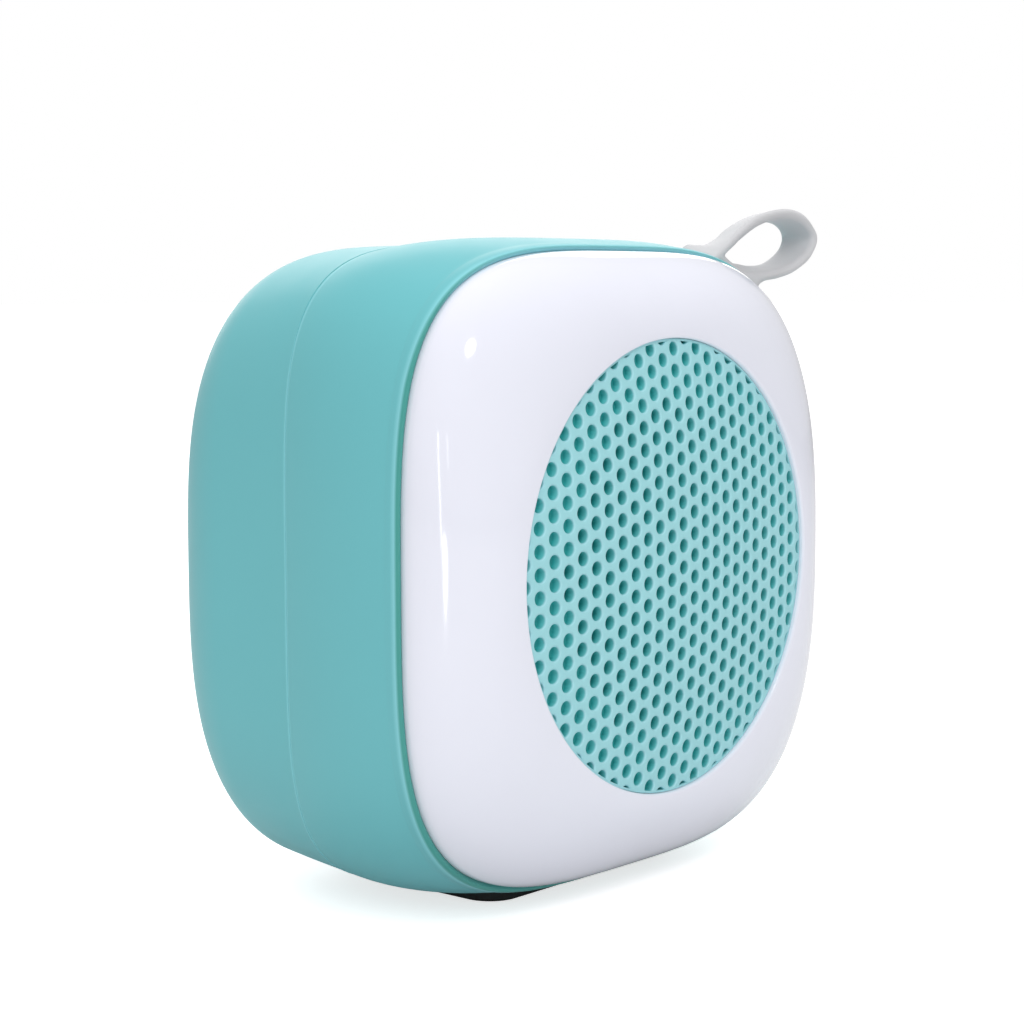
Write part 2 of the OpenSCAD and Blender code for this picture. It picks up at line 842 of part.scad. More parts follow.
module card_slot() {
    d0 = 35.5;
    d1 = case_depth - 0.6;
    skin = 0.2;
    color(steel)
        difference() {
            block([card_x - card_width / 2, card_x + card_width / 2], [d0, d1],
                [board_top_z, board_top_z + card_height]);
            block([card_x - card_width / 2 + skin, card_x + card_width / 2 - skin],
                [d0 + 1, d1 + 1], [board_top_z + 0.3, board_top_z + card_height - skin]);
        }
}

module switch_body() {
    color(steel)
        difference() {
            block([switch_x - 4.3, switch_x + 4.3], [44, 47.6],
                [board_top_z, board_top_z + 3.6]);
            slab(switch_x, switch_z, 1.6 + switch_travel + 0.4, 1.9, 45.2, 48);
        }
}

module switch_lever() {
    color(dark)
        slab(switch_x - switch_travel / 2, switch_z, 1.6, 1.5, 45.6, 49);
}

// Slider that a finger moves, with three grip ridges
module switch_knob() {
    x = switch_x - switch_travel / 2;
    tip_d = case_depth + 0.5;
    color(dark) {
        difference() {
            slab(x, switch_z, 4.4, 2.8, 48, tip_d);
            slab(x, switch_z, 1.6 + thin_gap, 1.5 + thin_gap, 47, 49);
        }
        for (i = [-1 : 1])
            slab(x + i * 1.3, switch_z, 0.6, 2.8, tip_d - 0.1, tip_d + 0.3);
    }
}

module battery_header() {
    color(white)
        difference() {
            block([6.6, 13.4], [38.3, 42.7], [board_top_z, board_top_z + 4]);
            block([7.2, 12.8], [38.9, 42.1], [board_top_z + 1, board_top_z + 5]);
        }
}

module battery_plug() {
    color(white)
        block([7.3, 12.7], [39, 42], [board_top_z + 1.1, -6.5]);
}

module speaker_header() {
    color(white)
        difference() {
            block([-21.4, -14.6], [35, 41], [board_top_z, board_top_z + 4.6]);
            block([-20.8, -15.2], [34, 40], [board_top_z + 0.6, board_top_z + 4]);
        }
}

module speaker_plug() {
    color(white)
        block([-20.7, -15.3], [34, 39.8], [board_top_z + 0.7, board_top_z + 3.9]);
}

module key_board() {
    color(board_green)
        difference() {
            block([-key_board_half_width, key_board_half_width],
                [key_board_d, key_board_back_d], [-4.5, 15]);
            for (side = [-1, 1])
                rod(side * key_screw_at, key_screw_z, key_board_d - 1, key_board_back_d + 1,
                    board_screw_r + 0.15);
        }
}

module board_screws() {
    color(steel)
        for (side = [-1, 1])
            screw(side * key_screw_at, key_screw_z, key_board_d, key_board_back_d + 4,
                board_screw_r, 1.6, 1);
}

module tact_switches() {
    color(dark)
        each_key()
            difference() {
                slab(0, key_z, 6, 6, tact_d, tact_d + tact_height);
                rod(0, key_z, tact_d + tact_height - plunger_inset - key_travel - 0.3,
                    tact_d + tact_height + 1, plunger_r + 0.1);
            }
}

module plunger(i) {
    color(white)
        rod(i * key_pitch, key_z, tact_d + tact_height - plunger_inset, plunger_tip_d, plunger_r);
}

module previous_plunger() {
    plunger(1);
}

module play_plunger() {
    plunger(0);
}

module next_plunger() {
    plunger(-1);
}

// Key cap with a retaining flange inside the wall and a raised mark drawn by its child
module key(i) {
    tip_d = case_depth + key_proud;
    color(teal) {
        rod(i * key_pitch, key_z, plunger_tip_d, key_flange_d, key_stem_r);
        rod(i * key_pitch, key_z, key_flange_d, key_flange_d + key_flange_thickness,
            key_flange_r);
        rod(i * key_pitch, key_z, key_flange_d + key_flange_thickness, tip_d, key_r);
        translate([i * key_pitch, at(tip_d - 0.1), centre_z + key_z])
            rotate([-90, 0, 0])
                linear_extrude(0.3)
                    children();
    }
}

// Solid triangle whose point is to the right on the back, where X runs to the left
module arrow_mark(size) {
    polygon([[size, -size], [size, size], [-size, 0]]);
}

module previous_button() {
    key(1)
        mirror([1, 0])
            skip_mark();
}

module play_button() {
    key(0) {
        translate([0.8, 0])
            arrow_mark(1);
        for (x = [-0.8, -1.7])
            translate([x, 0])
                square([0.5, 2], center = true);
    }
}

module next_button() {
    key(-1)
        skip_mark();
}

// Arrow with a bar at its point
module skip_mark() {
    translate([0.2, 0])
        arrow_mark(1);
    translate([-1.2, 0])
        square([0.5, 2], center = true);
}

module status_led() {
    color("#dfe8f2")
        slab(led_x, led_z, 3, 1.6, key_board_back_d, key_board_back_d + 0.9);
}

module light_pipe() {
    color("#dfe8f2") {
        rod(led_x, led_z, key_board_back_d + 1.1, case_depth + 0.1, 1.2);
        rod(led_x, led_z, back_inner_d - 1.2, back_inner_d - 0.1, 1.9);
    }
}

module microphone() {
    color(steel)
        rod(mic_x, mic_z, key_board_back_d, back_inner_d - 0.3, 2);
}

// Flat cable from the key board's front down to the main board
module key_ribbon() {
    route = [[41.1, 0], [41.1, -1.2], [40.7, -3], [40.6, -6], [41.3, -9], [42.8, -12],
        [43.3, board_top_z]];
    color(pale_grey)
        bent_strip(route, 0.35, -0.5, 4.5);
}

// ---- Battery and leads ----

module battery_cell() {
    height = battery_high_z - battery_low_z;
    color(steel)
        translate([0, at(battery_d), centre_z + (battery_low_z + battery_high_z) / 2])
            rotate([-90, 0, 0])
                rounded_plate(2 * battery_half_width, height, battery_thickness, battery_corner);
}

module battery_tape() {
    color(dark)
        slab(0, 3, 22, 14, yoke_back_d, yoke_back_d + tape_thickness);
}

module battery_lead_red() {
    color("#c8322b")
        lead(battery_red_route);
}

module battery_lead_black() {
    color(dark)
        lead(battery_black_route);
}

module speaker_lead_red() {
    color("#c8322b")
        lead(speaker_red_route);
}

module speaker_lead_black() {
    color(dark)
        lead(speaker_black_route);
}

front_bezel();
grille();
front_shell();
back_shell();
strap();
strap_pin();
base_pad();
case_screws();
grille_cloth();
driver_gasket();
driver_frame();
surround();
cone();
dust_cap();
voice_coil();
spider();
top_plate();
magnet();
yoke();
terminal_strip();
driver_screws();
main_board();
bluetooth_chip();
amplifier_chip();
crystal();
capacitors();
usb_shell();
usb_tongue();
aux_jack();
card_slot();
switch_body();
switch_lever();
switch_knob();
battery_plug();
battery_header();
speaker_plug();
speaker_header();
key_board();
tact_switches();
previous_plunger();
play_plunger();
next_plunger();
previous_button();
play_button();
next_button();
status_led();
light_pipe();
microphone();
key_ribbon();
board_screws();
battery_cell();
battery_tape();
battery_lead_red();
battery_lead_black();
speaker_lead_red();
speaker_lead_black();
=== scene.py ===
"""A portable speaker: glossy bezel, perforated grille, satin two-piece case and a soft carry loop.

All sizes are in millimetres. A depth "d" counts from the grille's tip towards the back, and a
height "z" from the middle of the front. Meshes are scaled to metres when they are made.
"""

import json
import math

import bmesh
import bpy
import numpy as np
from mathutils import Matrix, Vector


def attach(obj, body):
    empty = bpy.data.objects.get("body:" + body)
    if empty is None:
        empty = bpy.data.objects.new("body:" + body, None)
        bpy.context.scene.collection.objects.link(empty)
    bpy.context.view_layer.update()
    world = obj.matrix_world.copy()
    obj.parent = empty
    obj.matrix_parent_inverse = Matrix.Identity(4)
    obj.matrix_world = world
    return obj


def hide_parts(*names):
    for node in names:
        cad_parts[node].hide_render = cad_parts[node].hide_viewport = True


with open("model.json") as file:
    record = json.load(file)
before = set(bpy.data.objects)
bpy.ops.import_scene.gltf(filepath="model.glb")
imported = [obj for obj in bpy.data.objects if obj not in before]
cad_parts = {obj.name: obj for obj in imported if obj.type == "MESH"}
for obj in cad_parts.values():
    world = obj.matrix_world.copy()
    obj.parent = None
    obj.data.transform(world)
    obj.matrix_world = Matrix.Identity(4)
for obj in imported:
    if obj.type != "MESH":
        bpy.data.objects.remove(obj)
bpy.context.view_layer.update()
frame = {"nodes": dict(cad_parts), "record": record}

MM = 0.001
NODES = frame["nodes"]

# Case, as in the CAD model
CASE_HALF = 37.1
CASE_DEPTH = 51.0
FRONT_BULGE = 0.7
WALL = 2.2
BACK_ROUND = 12.5
SEAM_D = 27.0
PAD_PROUD = 0.8
CENTRE_Z = CASE_HALF + FRONT_BULGE + PAD_PROUD
SIDE_START_D = 12.0
ROUND_START_D = CASE_DEPTH - BACK_ROUND
INNER_HALF = CASE_HALF - WALL
BACK_INNER_D = CASE_DEPTH - WALL
LIP_D = 10.1
LIP_WIDTH = 0.45
DECK_D = 11.5
DECK_BACK_D = 13.0

# Squareness of the sections, where 2 is a circle
BEZEL_N = 3.55
SEAM_N = 4.55
ROUND_N = 3.75
BACK_N = 2.9

# Bezel and grille
BEZEL_HALF = 36.2
OPENING_R = 26.2
OPENING_D = 1.3
BEZEL_EDGE_D = 9.35
BEZEL_FOOT_D = 11.4
BEZEL_CURVE = 1.71
BEZEL_WALL = 1.8
BEZEL_POST_AT = 33.0
BEZEL_POST_R = 1.2
BEZEL_POST_D = 7.0
GRILLE_R = 26.0
GRILLE_FLANGE_R = 27.8
GRILLE_FLANGE_D = 4.2
GRILLE_HOLLOW_R = 24.6
DOME_RADIUS = 192.0
GRILLE_THICKNESS = 1.6
GRILLE_BACK_D = 5.2
HOLE_PITCH = 2.5
HOLE_R = 0.8
THROUGH_R = 19.8
DIMPLE_DEPTH = 1.3

# Screws, with the bosses they bite in and the wells that hold the heads of the case's screws
CASE_SCREW_AT = 22.0
CASE_SCREW_R = 1.1
CASE_SCREW_TIP_D = 16.0
CASE_PILOT_D = 15.0
WELL_R = 2.9
WELL_FLOOR_D = 38.0
SMALL_SCREW_R = 0.8
EAR_AT = 24.8
DRIVER_BOSS_D = 8.25
DRIVER_PILOT_D = 6.2
KEY_PILOT_D = 46.5

# Back controls
KEY_Z = 9.5
KEY_PITCH = 13.0
KEY_R = 4.0
KEY_PROUD = 0.6
KEY_FLANGE_D = 47.7
PLUNGER_TIP_D = 47.0
KEY_SCREW_AT = 18.2
KEY_SCREW_Z = 1.5
KEY_BOARD_BACK_D = 42.5
LED_AT = (-6.5, -0.5)
LED_OPENING_R = 1.25
MICROPHONE_AT = (6.5, -0.5)
MICROPHONE_OPENING_R = 0.7
AUX_AT = (17.0, -11.2)
AUX_OPENING_R = 3.1
USB_AT = (5.0, -12.3)
USB_SIZE = (7.6, 2.7)
CARD_AT = (-7.0, -12.95)
CARD_SIZE = (12.0, 1.7)
SWITCH_AT = (-18.0, -11.9)
SWITCH_OPENING = (6.8, 3.2)
SWITCH_REST_X = -19.0
KNOB_SIZE = (4.4, 2.8)
LEVER_SIZE = (1.65, 1.55)

# Main board
BOARD_Z = -15.0
BOARD_TOP_Z = -13.8
BOARD_HALF_WIDTH = 25.0
BOARD_FRONT_D = 33.0

# Base pad and its pocket, in heights above the ground
PAD_SIZE = (34.0, 22.0)
PAD_CORNER = 4.0
PAD_TOP = 2.1
PAD_GAP = 0.15

# Points round a section of the case, and how far a cutter runs past the face it opens
SEGMENTS = 288
PAST = 1.0

# Edges sharper than these angles stay sharp, on lofted pieces and on turned or cut ones
LOFT_ANGLE = 40.0
HARD_ANGLE = 35.0


# ---- Geometry helpers ----

def at(d):
    """Y of a depth behind the grille's tip."""
    return d - CASE_DEPTH / 2


def mix(a, b, t):
    """Value between a (t = 0) and b (t = 1)."""
    return a + (b - a) * t


def squircle(half, n, segments=SEGMENTS):
    """(x, z) points of a squircle."""
    angle = np.linspace(0, 2 * np.pi, segments, endpoint=False)
    c, s = np.cos(angle), np.sin(angle)
    r = half / (np.abs(c) ** n + np.abs(s) ** n) ** (1 / n)
    return np.stack([r * c, r * s], axis=1)


def depth_ring(xz, d, x=0.0, z=0.0):
    """(x, z) points at a depth, moved to a place on the front."""
    return np.stack([x + xz[:, 0], np.full(len(xz), at(d)), CENTRE_Z + z + xz[:, 1]], axis=1)


def section(d, half, n):
    """One ring of case points at a depth."""
    return depth_ring(squircle(half, n), d)


def make_object(name, points, faces, smooth_angle=LOFT_ANGLE):
    """An object from points in millimetres, smooth except at edges sharper than the angle."""
    mesh = bpy.data.meshes.new(name)
    mesh.from_pydata([tuple(p) for p in np.asarray(points) * MM], [], faces)
    obj = bpy.data.objects.new(name, mesh)
    bpy.context.scene.collection.objects.link(obj)
    finish_normals(obj, smooth_angle)
    return obj


def finish_normals(obj, smooth_angle):
    """Outward normals, smooth shading and sharp edges by angle."""
    bm = bmesh.new()
    bm.from_mesh(obj.data)
    bmesh.ops.recalc_face_normals(bm, faces=bm.faces)
    bm.to_mesh(obj.data)
    bm.free()
    obj.data.shade_smooth()
    obj.data.set_sharp_from_angle(angle=math.radians(smooth_angle))


def even_shading(obj):
    """Weights normals by area, so a large flat face stays even up to its rounded edges."""
    modifier = obj.modifiers.new("even_shading", "WEIGHTED_NORMAL")
    modifier.keep_sharp = True
    return obj


def skin_faces(count, size, closed=True):
    """Quads over rings of points, joined end to end or capped."""
    last = count if closed else count - 1
    faces = []
    for i in range(last):
        k = (i + 1) % count
        for j in range(size):
            m = (j + 1) % size
            faces.append((i * size + j, k * size + j, k * size + m, i * size + m))
    if not closed:
        faces.append(tuple(range(size)))
        faces.append(tuple((count - 1) * size + j for j in reversed(range(size))))
    return faces


def skin(name, rings, closed=True, smooth_angle=LOFT_ANGLE):
    """Surface over rings of points, as in skin_faces."""
    rings = np.asarray(rings)
    faces = skin_faces(len(rings), rings.shape[1], closed)
    return make_object(name, rings.reshape(-1, 3), faces, smooth_angle)


def loft(name, sections, closed=True):
    """Surface over (depth, half size, squareness) sections of the case."""
    return skin(name, [section(*s) for s in sections], closed)


def turned(name, profile, x=0.0, z=0.0, segments=96):
    """Solid of revolution along the case's depth, from a closed (radius, depth) profile."""
    angle = np.linspace(0, 2 * np.pi, segments, endpoint=False)
    points, faces, rows = [], [], []
    for r, d in profile:
        if r < 1e-6:
            rows.append([len(points)] * segments)
            points.append((x, at(d), CENTRE_Z + z))
            continue
        rows.append(list(range(len(points), len(points) + segments)))
        points.extend((x + r * math.cos(a), at(d), CENTRE_Z + z + r * math.sin(a)) for a in angle)
    for i in range(len(rows)):
        a, b = rows[i], rows[(i + 1) % len(rows)]
        for j in range(segments):
            m = (j + 1) % segments
            loop = list(dict.fromkeys((a[j], b[j], b[m], a[m])))
            if len(loop) > 2:
                faces.append(tuple(loop))
    return make_object(name, points, faces, HARD_ANGLE)


def rod(name, place, d0, d1, r, segments=48):
    """Round bar along the depth, at an (x, z) place."""
    return turned(name, [(0, d0), (r, d0), (r, d1), (0, d1)], *place, segments)


def boss(place, outer_r, hole_r, base_d, tip_d, hole_end_d, segments=48):
    """Round boss from its base to its tip, with a blind hole from the tip."""
    return turned("boss", [(0, base_d), (outer_r, base_d), (outer_r, tip_d), (hole_r, tip_d),
                           (hole_r, hole_end_d), (0, hole_end_d)], *place, segments)


def arc(centre_d, centre_half, radius, start, end, steps):
    """(depth, half size) points of an arc. 0 degrees points back, and 90 outwards."""
    return [(centre_d + radius * math.cos(math.radians(a)),
             centre_half + radius * math.sin(math.radians(a)))
            for a in np.linspace(start, end, steps)]


def quarter_round(radius, steps):
    """(across, down) distances from a sharp edge to points of its rounding."""
    return [(radius * (1 - math.cos(a)), radius * (1 - math.sin(a)))
            for a in np.linspace(0, math.pi / 2, steps)]


def rounded_rect(width, height, r, steps=6):
    """Points of a rectangle with round corners about the middle, anticlockwise."""
    points = []
    for k, (sx, sy) in enumerate([(1, 1), (-1, 1), (-1, -1), (1, -1)]):
        for a in np.radians(np.linspace(90 * k, 90 * k + 90, steps)):
            points.append((sx * (width / 2 - r) + r * math.cos(a),
                           sy * (height / 2 - r) + r * math.sin(a)))
    return np.array(points)


def grown(outline, by):
    """An anticlockwise outline moved outwards by a distance."""
    outline = np.asarray(outline, float)
    before = outline - np.roll(outline, 1, axis=0)
    after = np.roll(outline, -1, axis=0) - outline
    before /= np.linalg.norm(before, axis=1)[:, None]
    after /= np.linalg.norm(after, axis=1)[:, None]
    run = before + after
    normal = np.stack([run[:, 1], -run[:, 0]], axis=1)
    normal *= 2 / (normal ** 2).sum(axis=1)[:, None]
    return outline + by * normal


def prism(name, outline, levels, place=(0.0, 0.0)):
    """Capped prism along the depth, from (x, z) points and (depth, growth) levels."""
    return skin(name, [depth_ring(grown(outline, by), d, *place) for d, by in levels],
                closed=False, smooth_angle=HARD_ANGLE)


def plate(name, outline, levels):
    """Capped prism that stands upright, from (x, y) points and (height, growth) levels."""
    rings = []
    for height, by in levels:
        xy = grown(outline, by)
        rings.append(np.column_stack([xy, np.full(len(xy), height)]))
    return skin(name, rings, closed=False, smooth_angle=HARD_ANGLE)


def box(name, x, d, z):
    """Block between two x, two depths and two heights."""
    outline = [(x[0], at(d[0])), (x[1], at(d[0])), (x[1], at(d[1])), (x[0], at(d[1]))]
    return plate(name, outline, [(CENTRE_Z + z[0], 0), (CENTRE_Z + z[1], 0)])


def join(obj, others):
    """Adds the others' meshes to obj, and removes them."""
    bm = bmesh.new()
    bm.from_mesh(obj.data)
    for other in others:
        bm.from_mesh(other.data)
        bpy.data.objects.remove(other)
    bm.to_mesh(obj.data)
    bm.free()
    return obj


def cut(obj, cutters):
    """Takes the cutters out of obj, and removes them."""
    cutter = join(cutters[0], cutters[1:])
    boolean = obj.modifiers.new("cut", "BOOLEAN")
    boolean.operation = "DIFFERENCE"
    boolean.solver = "EXACT"
    boolean.object = cutter
    graph = bpy.context.evaluated_depsgraph_get()
    mesh = bpy.data.meshes.new_from_object(obj.evaluated_get(graph))
    obj.modifiers.clear()
    obj.data = mesh
    bpy.data.objects.remove(cutter)
    finish_normals(obj, HARD_ANGLE)


def four_ways(distance):
    """(x, z) places right, left, above and below the middle."""
    return [(distance, 0), (-distance, 0), (0, distance), (0, -distance)]


def four_corners(distance):
    """(x, z) places towards the corners, as far out as up or down."""
    return [(sx * distance, sz * distance) for sx in (-1, 1) for sz in (-1, 1)]


# ---- Camera and light ----

def make_camera():
    """The photograph's angle: from the front left, a little above the middle."""
    azimuth, elevation, roll = math.radians(-49.13), math.radians(5.55), math.radians(-0.21)
    back = Vector((math.sin(azimuth) * math.cos(elevation),
                   -math.cos(azimuth) * math.cos(elevation), math.sin(elevation)))
    right = Vector((math.cos(azimuth), math.sin(azimuth), 0))
    up = back.cross(right)
    right, up = (math.cos(roll) * right + math.sin(roll) * up,
                 math.cos(roll) * up - math.sin(roll) * right)
    aim_offset = (19.83, -6.37)
    distance = 261.32
    data = bpy.data.cameras.new("camera")
    data.lens = 80.2
    data.sensor_width = 36
    data.clip_start = 0.01
    data.clip_end = 20
    camera = bpy.data.objects.new("camera", data)
    bpy.context.scene.collection.objects.link(camera)
    position = (distance * back - aim_offset[0] * right - aim_offset[1] * up
                + Vector((0, at(0), CENTRE_Z)))
    turn = Matrix((right, up, back)).transposed().to_4x4()
    camera.matrix_world = Matrix.Translation(position * MM) @ turn
    bpy.context.scene.camera = camera


def add_lamp(name, position, size, radiance, shape="RECTANGLE", mirrored=True):
    """A soft light in metres that faces the speaker, seen in gloss only when mirrored."""
    data = bpy.data.lights.new(name, "AREA")
    data.shape = shape
    data.size, data.size_y = size
    data.energy = radiance * math.pi * size[0] * size[1]
    lamp = bpy.data.objects.new(name, data)
    bpy.context.scene.collection.objects.link(lamp)
    lamp.location = position
    lamp.rotation_mode = "QUATERNION"
    away = Vector(position) - Vector((0, 0, CENTRE_Z * MM))
    lamp.rotation_quaternion = away.to_track_quat("Z", "Y")
    lamp.visible_camera = False
    lamp.visible_glossy = mirrored


def seen_strength(tree, socket, as_light, to_camera):
    """Sets a strength to one value as light, and to another where the camera sees it."""
    path = tree.nodes.new("ShaderNodeLightPath")
    strength = tree.nodes.new("ShaderNodeMapRange")
    strength.inputs["To Min"].default_value = as_light
    strength.inputs["To Max"].default_value = to_camera
    tree.links.new(path.outputs["Is Camera Ray"], strength.inputs["Value"])
    tree.links.new(strength.outputs["Result"], socket)


def make_world():
    """White to the camera, and a softer white as light."""
    world = bpy.data.worlds.new("studio")
    world.use_nodes = True
    background = world.node_tree.nodes["Background"]
    background.inputs["Color"].default_value = (1, 1, 1, 1)
    seen_strength(world.node_tree, background.inputs["Strength"], as_light=0.6, to_camera=1.0)
    bpy.context.scene.world = world


def make_studio():
    """Large lamps at the left, above and low behind, and small ones that glint in the bezel."""
    bpy.context.scene.view_settings.view_transform = "Standard"
    make_world()
    add_lamp("left", (-0.45, -0.45, 0.6), (0.5, 0.5), 2.6, mirrored=False)
    add_lamp("above", (0.15, 0.1, 0.8), (0.4, 0.4), 5, mirrored=False)
    add_lamp("behind", (0.45, 0.55, 0.35), (0.7, 0.5), 1.2)
    add_lamp("round_glint", (-0.217, -0.577, 0.607), (0.12, 0.12), 9, shape="DISK")
    add_lamp("tall_glint", (-0.245, -0.145, 0.07), (0.01, 0.1), 4)
    add_lamp("foot_glint", (-0.235, -0.16, 0.015), (0.03, 0.03), 4, shape="DISK")
    add_lamp("side_glint", (-0.215, -0.19, 0.1), (0.005, 0.04), 3)


def make_floor():
    """A white floor that runs far out of view."""
    reach = 10.0
    mesh = bpy.data.meshes.new("floor")
    mesh.from_pydata([(-reach, -reach, 0), (reach, -reach, 0), (reach, reach, 0),
                      (-reach, reach, 0)], [], [(0, 1, 2, 3)])
    material = bpy.data.materials.new("floor")
    material.use_nodes = True
    shader = material.node_tree.nodes["Principled BSDF"]
    shader.inputs["Base Color"].default_value = (0.7, 0.7, 0.7, 1)
    shader.inputs["Roughness"].default_value = 0.6
    shader.inputs["Emission Color"].default_value = (1, 1, 1, 1)
    seen_strength(material.node_tree, shader.inputs["Emission Strength"], as_light=0.05,
                  to_camera=0.7)
    mesh.materials.append(material)
    floor = bpy.data.objects.new("floor", mesh)
    bpy.context.scene.collection.objects.link(floor)


# ---- Materials ----

def linear(colour):
    """Linear colour from an sRGB one."""
    return tuple(c / 12.92 if c <= 0.04045 else ((c + 0.055) / 1.055) ** 2.4 for c in colour)


class Surface:
    """Short calls to build one material's node tree."""

    def __init__(self, name, values=None):
        self.material = bpy.data.materials.new(name)
        self.material.use_nodes = True
        self.tree = self.material.node_tree
        self.shader = self.tree.nodes["Principled BSDF"]
        self.position = self.tree.nodes.new("ShaderNodeTexCoord").outputs["Object"]
        for socket, value in (values or {}).items():
            self.shader.inputs[socket].default_value = value

    def node(self, kind, inputs, **settings):
        """A new node, with a value or a link on each named input."""
        made = self.tree.nodes.new(kind)
        for key, value in settings.items():
            setattr(made, key, value)
        for key, value in inputs.items():
            if isinstance(value, bpy.types.NodeSocket):
                self.tree.links.new(value, made.inputs[key])
            else:
                made.inputs[key].default_value = value
        return made

    def noise(self, size_mm, detail=3.0, stretch=(1, 1, 1)):
        """Noise from 0 to 1 whose features are about size_mm across."""
        scaled = self.node("ShaderNodeMapping", {"Vector": self.position, "Scale": stretch})
        return self.node("ShaderNodeTexNoise", {"Vector": scaled.outputs["Vector"],
                                                "Scale": 1 / (size_mm * MM),
                                                "Detail": detail}).outputs["Fac"]

    def bands(self, pitch_mm, direction):
        """Smooth bands from 0 to 1 across one axis."""
        # The wave texture has this many bands in a metre at a scale of 1
        waves_per_unit = 20 / (2 * math.pi)
        return self.node("ShaderNodeTexWave", {"Vector": self.position,
                                               "Scale": 1 / (waves_per_unit * pitch_mm * MM)},
                         bands_direction=direction).outputs["Fac"]

    def cells(self, size_mm, feature, metric="EUCLIDEAN"):
        """Distance from 0 to 1 in cells of about size_mm."""
        return self.node("ShaderNodeTexVoronoi", {"Vector": self.position,
                                                  "Scale": 1 / (size_mm * MM)},
                         feature=feature, distance=metric).outputs["Distance"]

    def maths(self, operation, a, b):
        """Result of one operation on two values."""
        return self.node("ShaderNodeMath", {0: a, 1: b}, operation=operation).outputs["Value"]

    def rescale(self, value, start, end, low, high):
        """Low to high, as the value goes from start to end."""
        return self.node("ShaderNodeMapRange", {"Value": value, "From Min": start, "From Max": end,
                                                "To Min": low, "To Max": high}).outputs["Result"]

    def ramp(self, value, low, high, colour_low, colour_high):
        """Colour between two, by a value between low and high."""
        made = self.node("ShaderNodeValToRGB", {"Fac": value})
        ends = made.color_ramp.elements
        ends[0].position, ends[1].position = low, high
        ends[0].color, ends[1].color = (*colour_low, 1), (*colour_high, 1)
        return made.outputs["Color"]

    def colour(self, value, low, high, colour_low, colour_high):
        """Base colour by a value, as in ramp."""
        self.link(self.ramp(value, low, high, colour_low, colour_high), "Base Color")

    def banded(self, depth, bands, change=0.02):
        """Mottled colour by a depth, through (millimetres, colour) bands."""
        start, end = bands[0][0], bands[-1][0]
        along = self.rescale(depth, start * MM, end * MM, 0, 1)
        stops = self.node("ShaderNodeValToRGB", {"Fac": along})
        elements = stops.color_ramp.elements
        for place, _ in bands[1:-1]:
            elements.new((place - start) / (end - start))
        for element, (_, colour) in zip(elements, bands):
            element.color = (*linear(colour), 1)
        mottle = self.ramp(self.noise(18), 0.3, 0.7, *shades((1, 1, 1), change))
        self.link(self.node("ShaderNodeMixRGB", {"Fac": 1.0, "Color1": stops.outputs["Color"],
                                                 "Color2": mottle},
                            blend_type="MULTIPLY").outputs["Color"], "Base Color")

    def roughness(self, value, low, high):
        """Roughness from low to high, by a value from 0 to 1."""
        self.link(self.rescale(value, 0, 1, low, high), "Roughness")

    def bump(self, height, depth_mm):
        """Adds relief on top of any earlier relief."""
        inputs = {"Height": height, "Distance": depth_mm * MM}
        previous = self.shader.inputs["Normal"].links
        if previous:
            inputs["Normal"] = previous[0].from_socket
        self.link(self.node("ShaderNodeBump", inputs).outputs["Normal"], "Normal")

    def link(self, value, socket):
        self.tree.links.new(value, self.shader.inputs[socket])


def shades(colour, change):
    """A colour's darker and lighter neighbours, linear."""
    base = linear(colour)
    return tuple(c * (1 - change) for c in base), tuple(min(1.0, c * (1 + change)) for c in base)


def mixed(a, b):
    """The colour halfway between two."""
    return tuple((x + y) / 2 for x, y in zip(a, b))


def moulded(name, colour, roughness, change=0.03, grain_mm=0.25, grain_depth=0.004, values=None):
    """Moulded plastic: faint cloudiness, uneven gloss and a fine grain."""
    s = Surface(name, values)
    s.colour(s.noise(14), 0.3, 0.7, *shades(colour, change))
    s.roughness(s.noise(5), roughness * 0.85, roughness * 1.15)
    s.bump(s.noise(grain_mm, 2), grain_depth)
    return s.material


def metal(name, colour, roughness, stretch=(1, 1, 1), change=0.06, relief=0.003):
    """Metal whose fine streaks vary its tint, gloss and height."""
    s = Surface(name, {"Metallic": 1.0})
    streak = s.noise(0.6, 4, stretch)
    s.colour(streak, 0.3, 0.7, *shades(colour, change))
    s.roughness(streak, roughness * 0.8, roughness * 1.25)
    s.bump(streak, relief)
    return s.material


def woven(name, colour, pitch_mm, roughness=0.9, change=0.35):
    """Cloth: threads that cross in two directions, with frayed fibres."""
    s = Surface(name)
    threads = s.maths("MULTIPLY", s.bands(pitch_mm, "X"), s.bands(pitch_mm, "Z"))
    s.colour(threads, 0.05, 0.7, *shades(colour, change))
    s.roughness(s.noise(0.3), roughness * 0.9, 1.0)
    s.bump(threads, pitch_mm * 0.25)
    s.bump(s.noise(pitch_mm * 0.3, 4), pitch_mm * 0.08)
    return s.material


def cellular(name, colour, size_mm, roughness, depth_mm, change=0.3):
    """Foam, paper and sintered powder: a grain of small cells over soft patches."""
    s = Surface(name)
    grain = s.cells(size_mm, "F1")
    s.colour(s.maths("MULTIPLY", grain, s.noise(4)), 0.1, 0.6, *shades(colour, change))
    s.roughness(s.noise(2), roughness * 0.9, min(1.0, roughness * 1.1))
    s.bump(grain, depth_mm)
    return s.material


def circuit(name, colour, track_colour):
    """Solder mask over raised copper tracks, slightly uneven in gloss and height."""
    s = Surface(name)
    edge = s.cells(2.2, "DISTANCE_TO_EDGE", "CHEBYCHEV")
    track_end, mask_start = 0.06, 0.12
    s.colour(edge, track_end, mask_start, linear(track_colour), linear(colour))
    s.roughness(s.noise(1.5), 0.22, 0.38)
    s.bump(s.rescale(edge, track_end, mask_start, 1, 0), 0.05)
    s.bump(s.noise(0.3), 0.008)
    return s.material


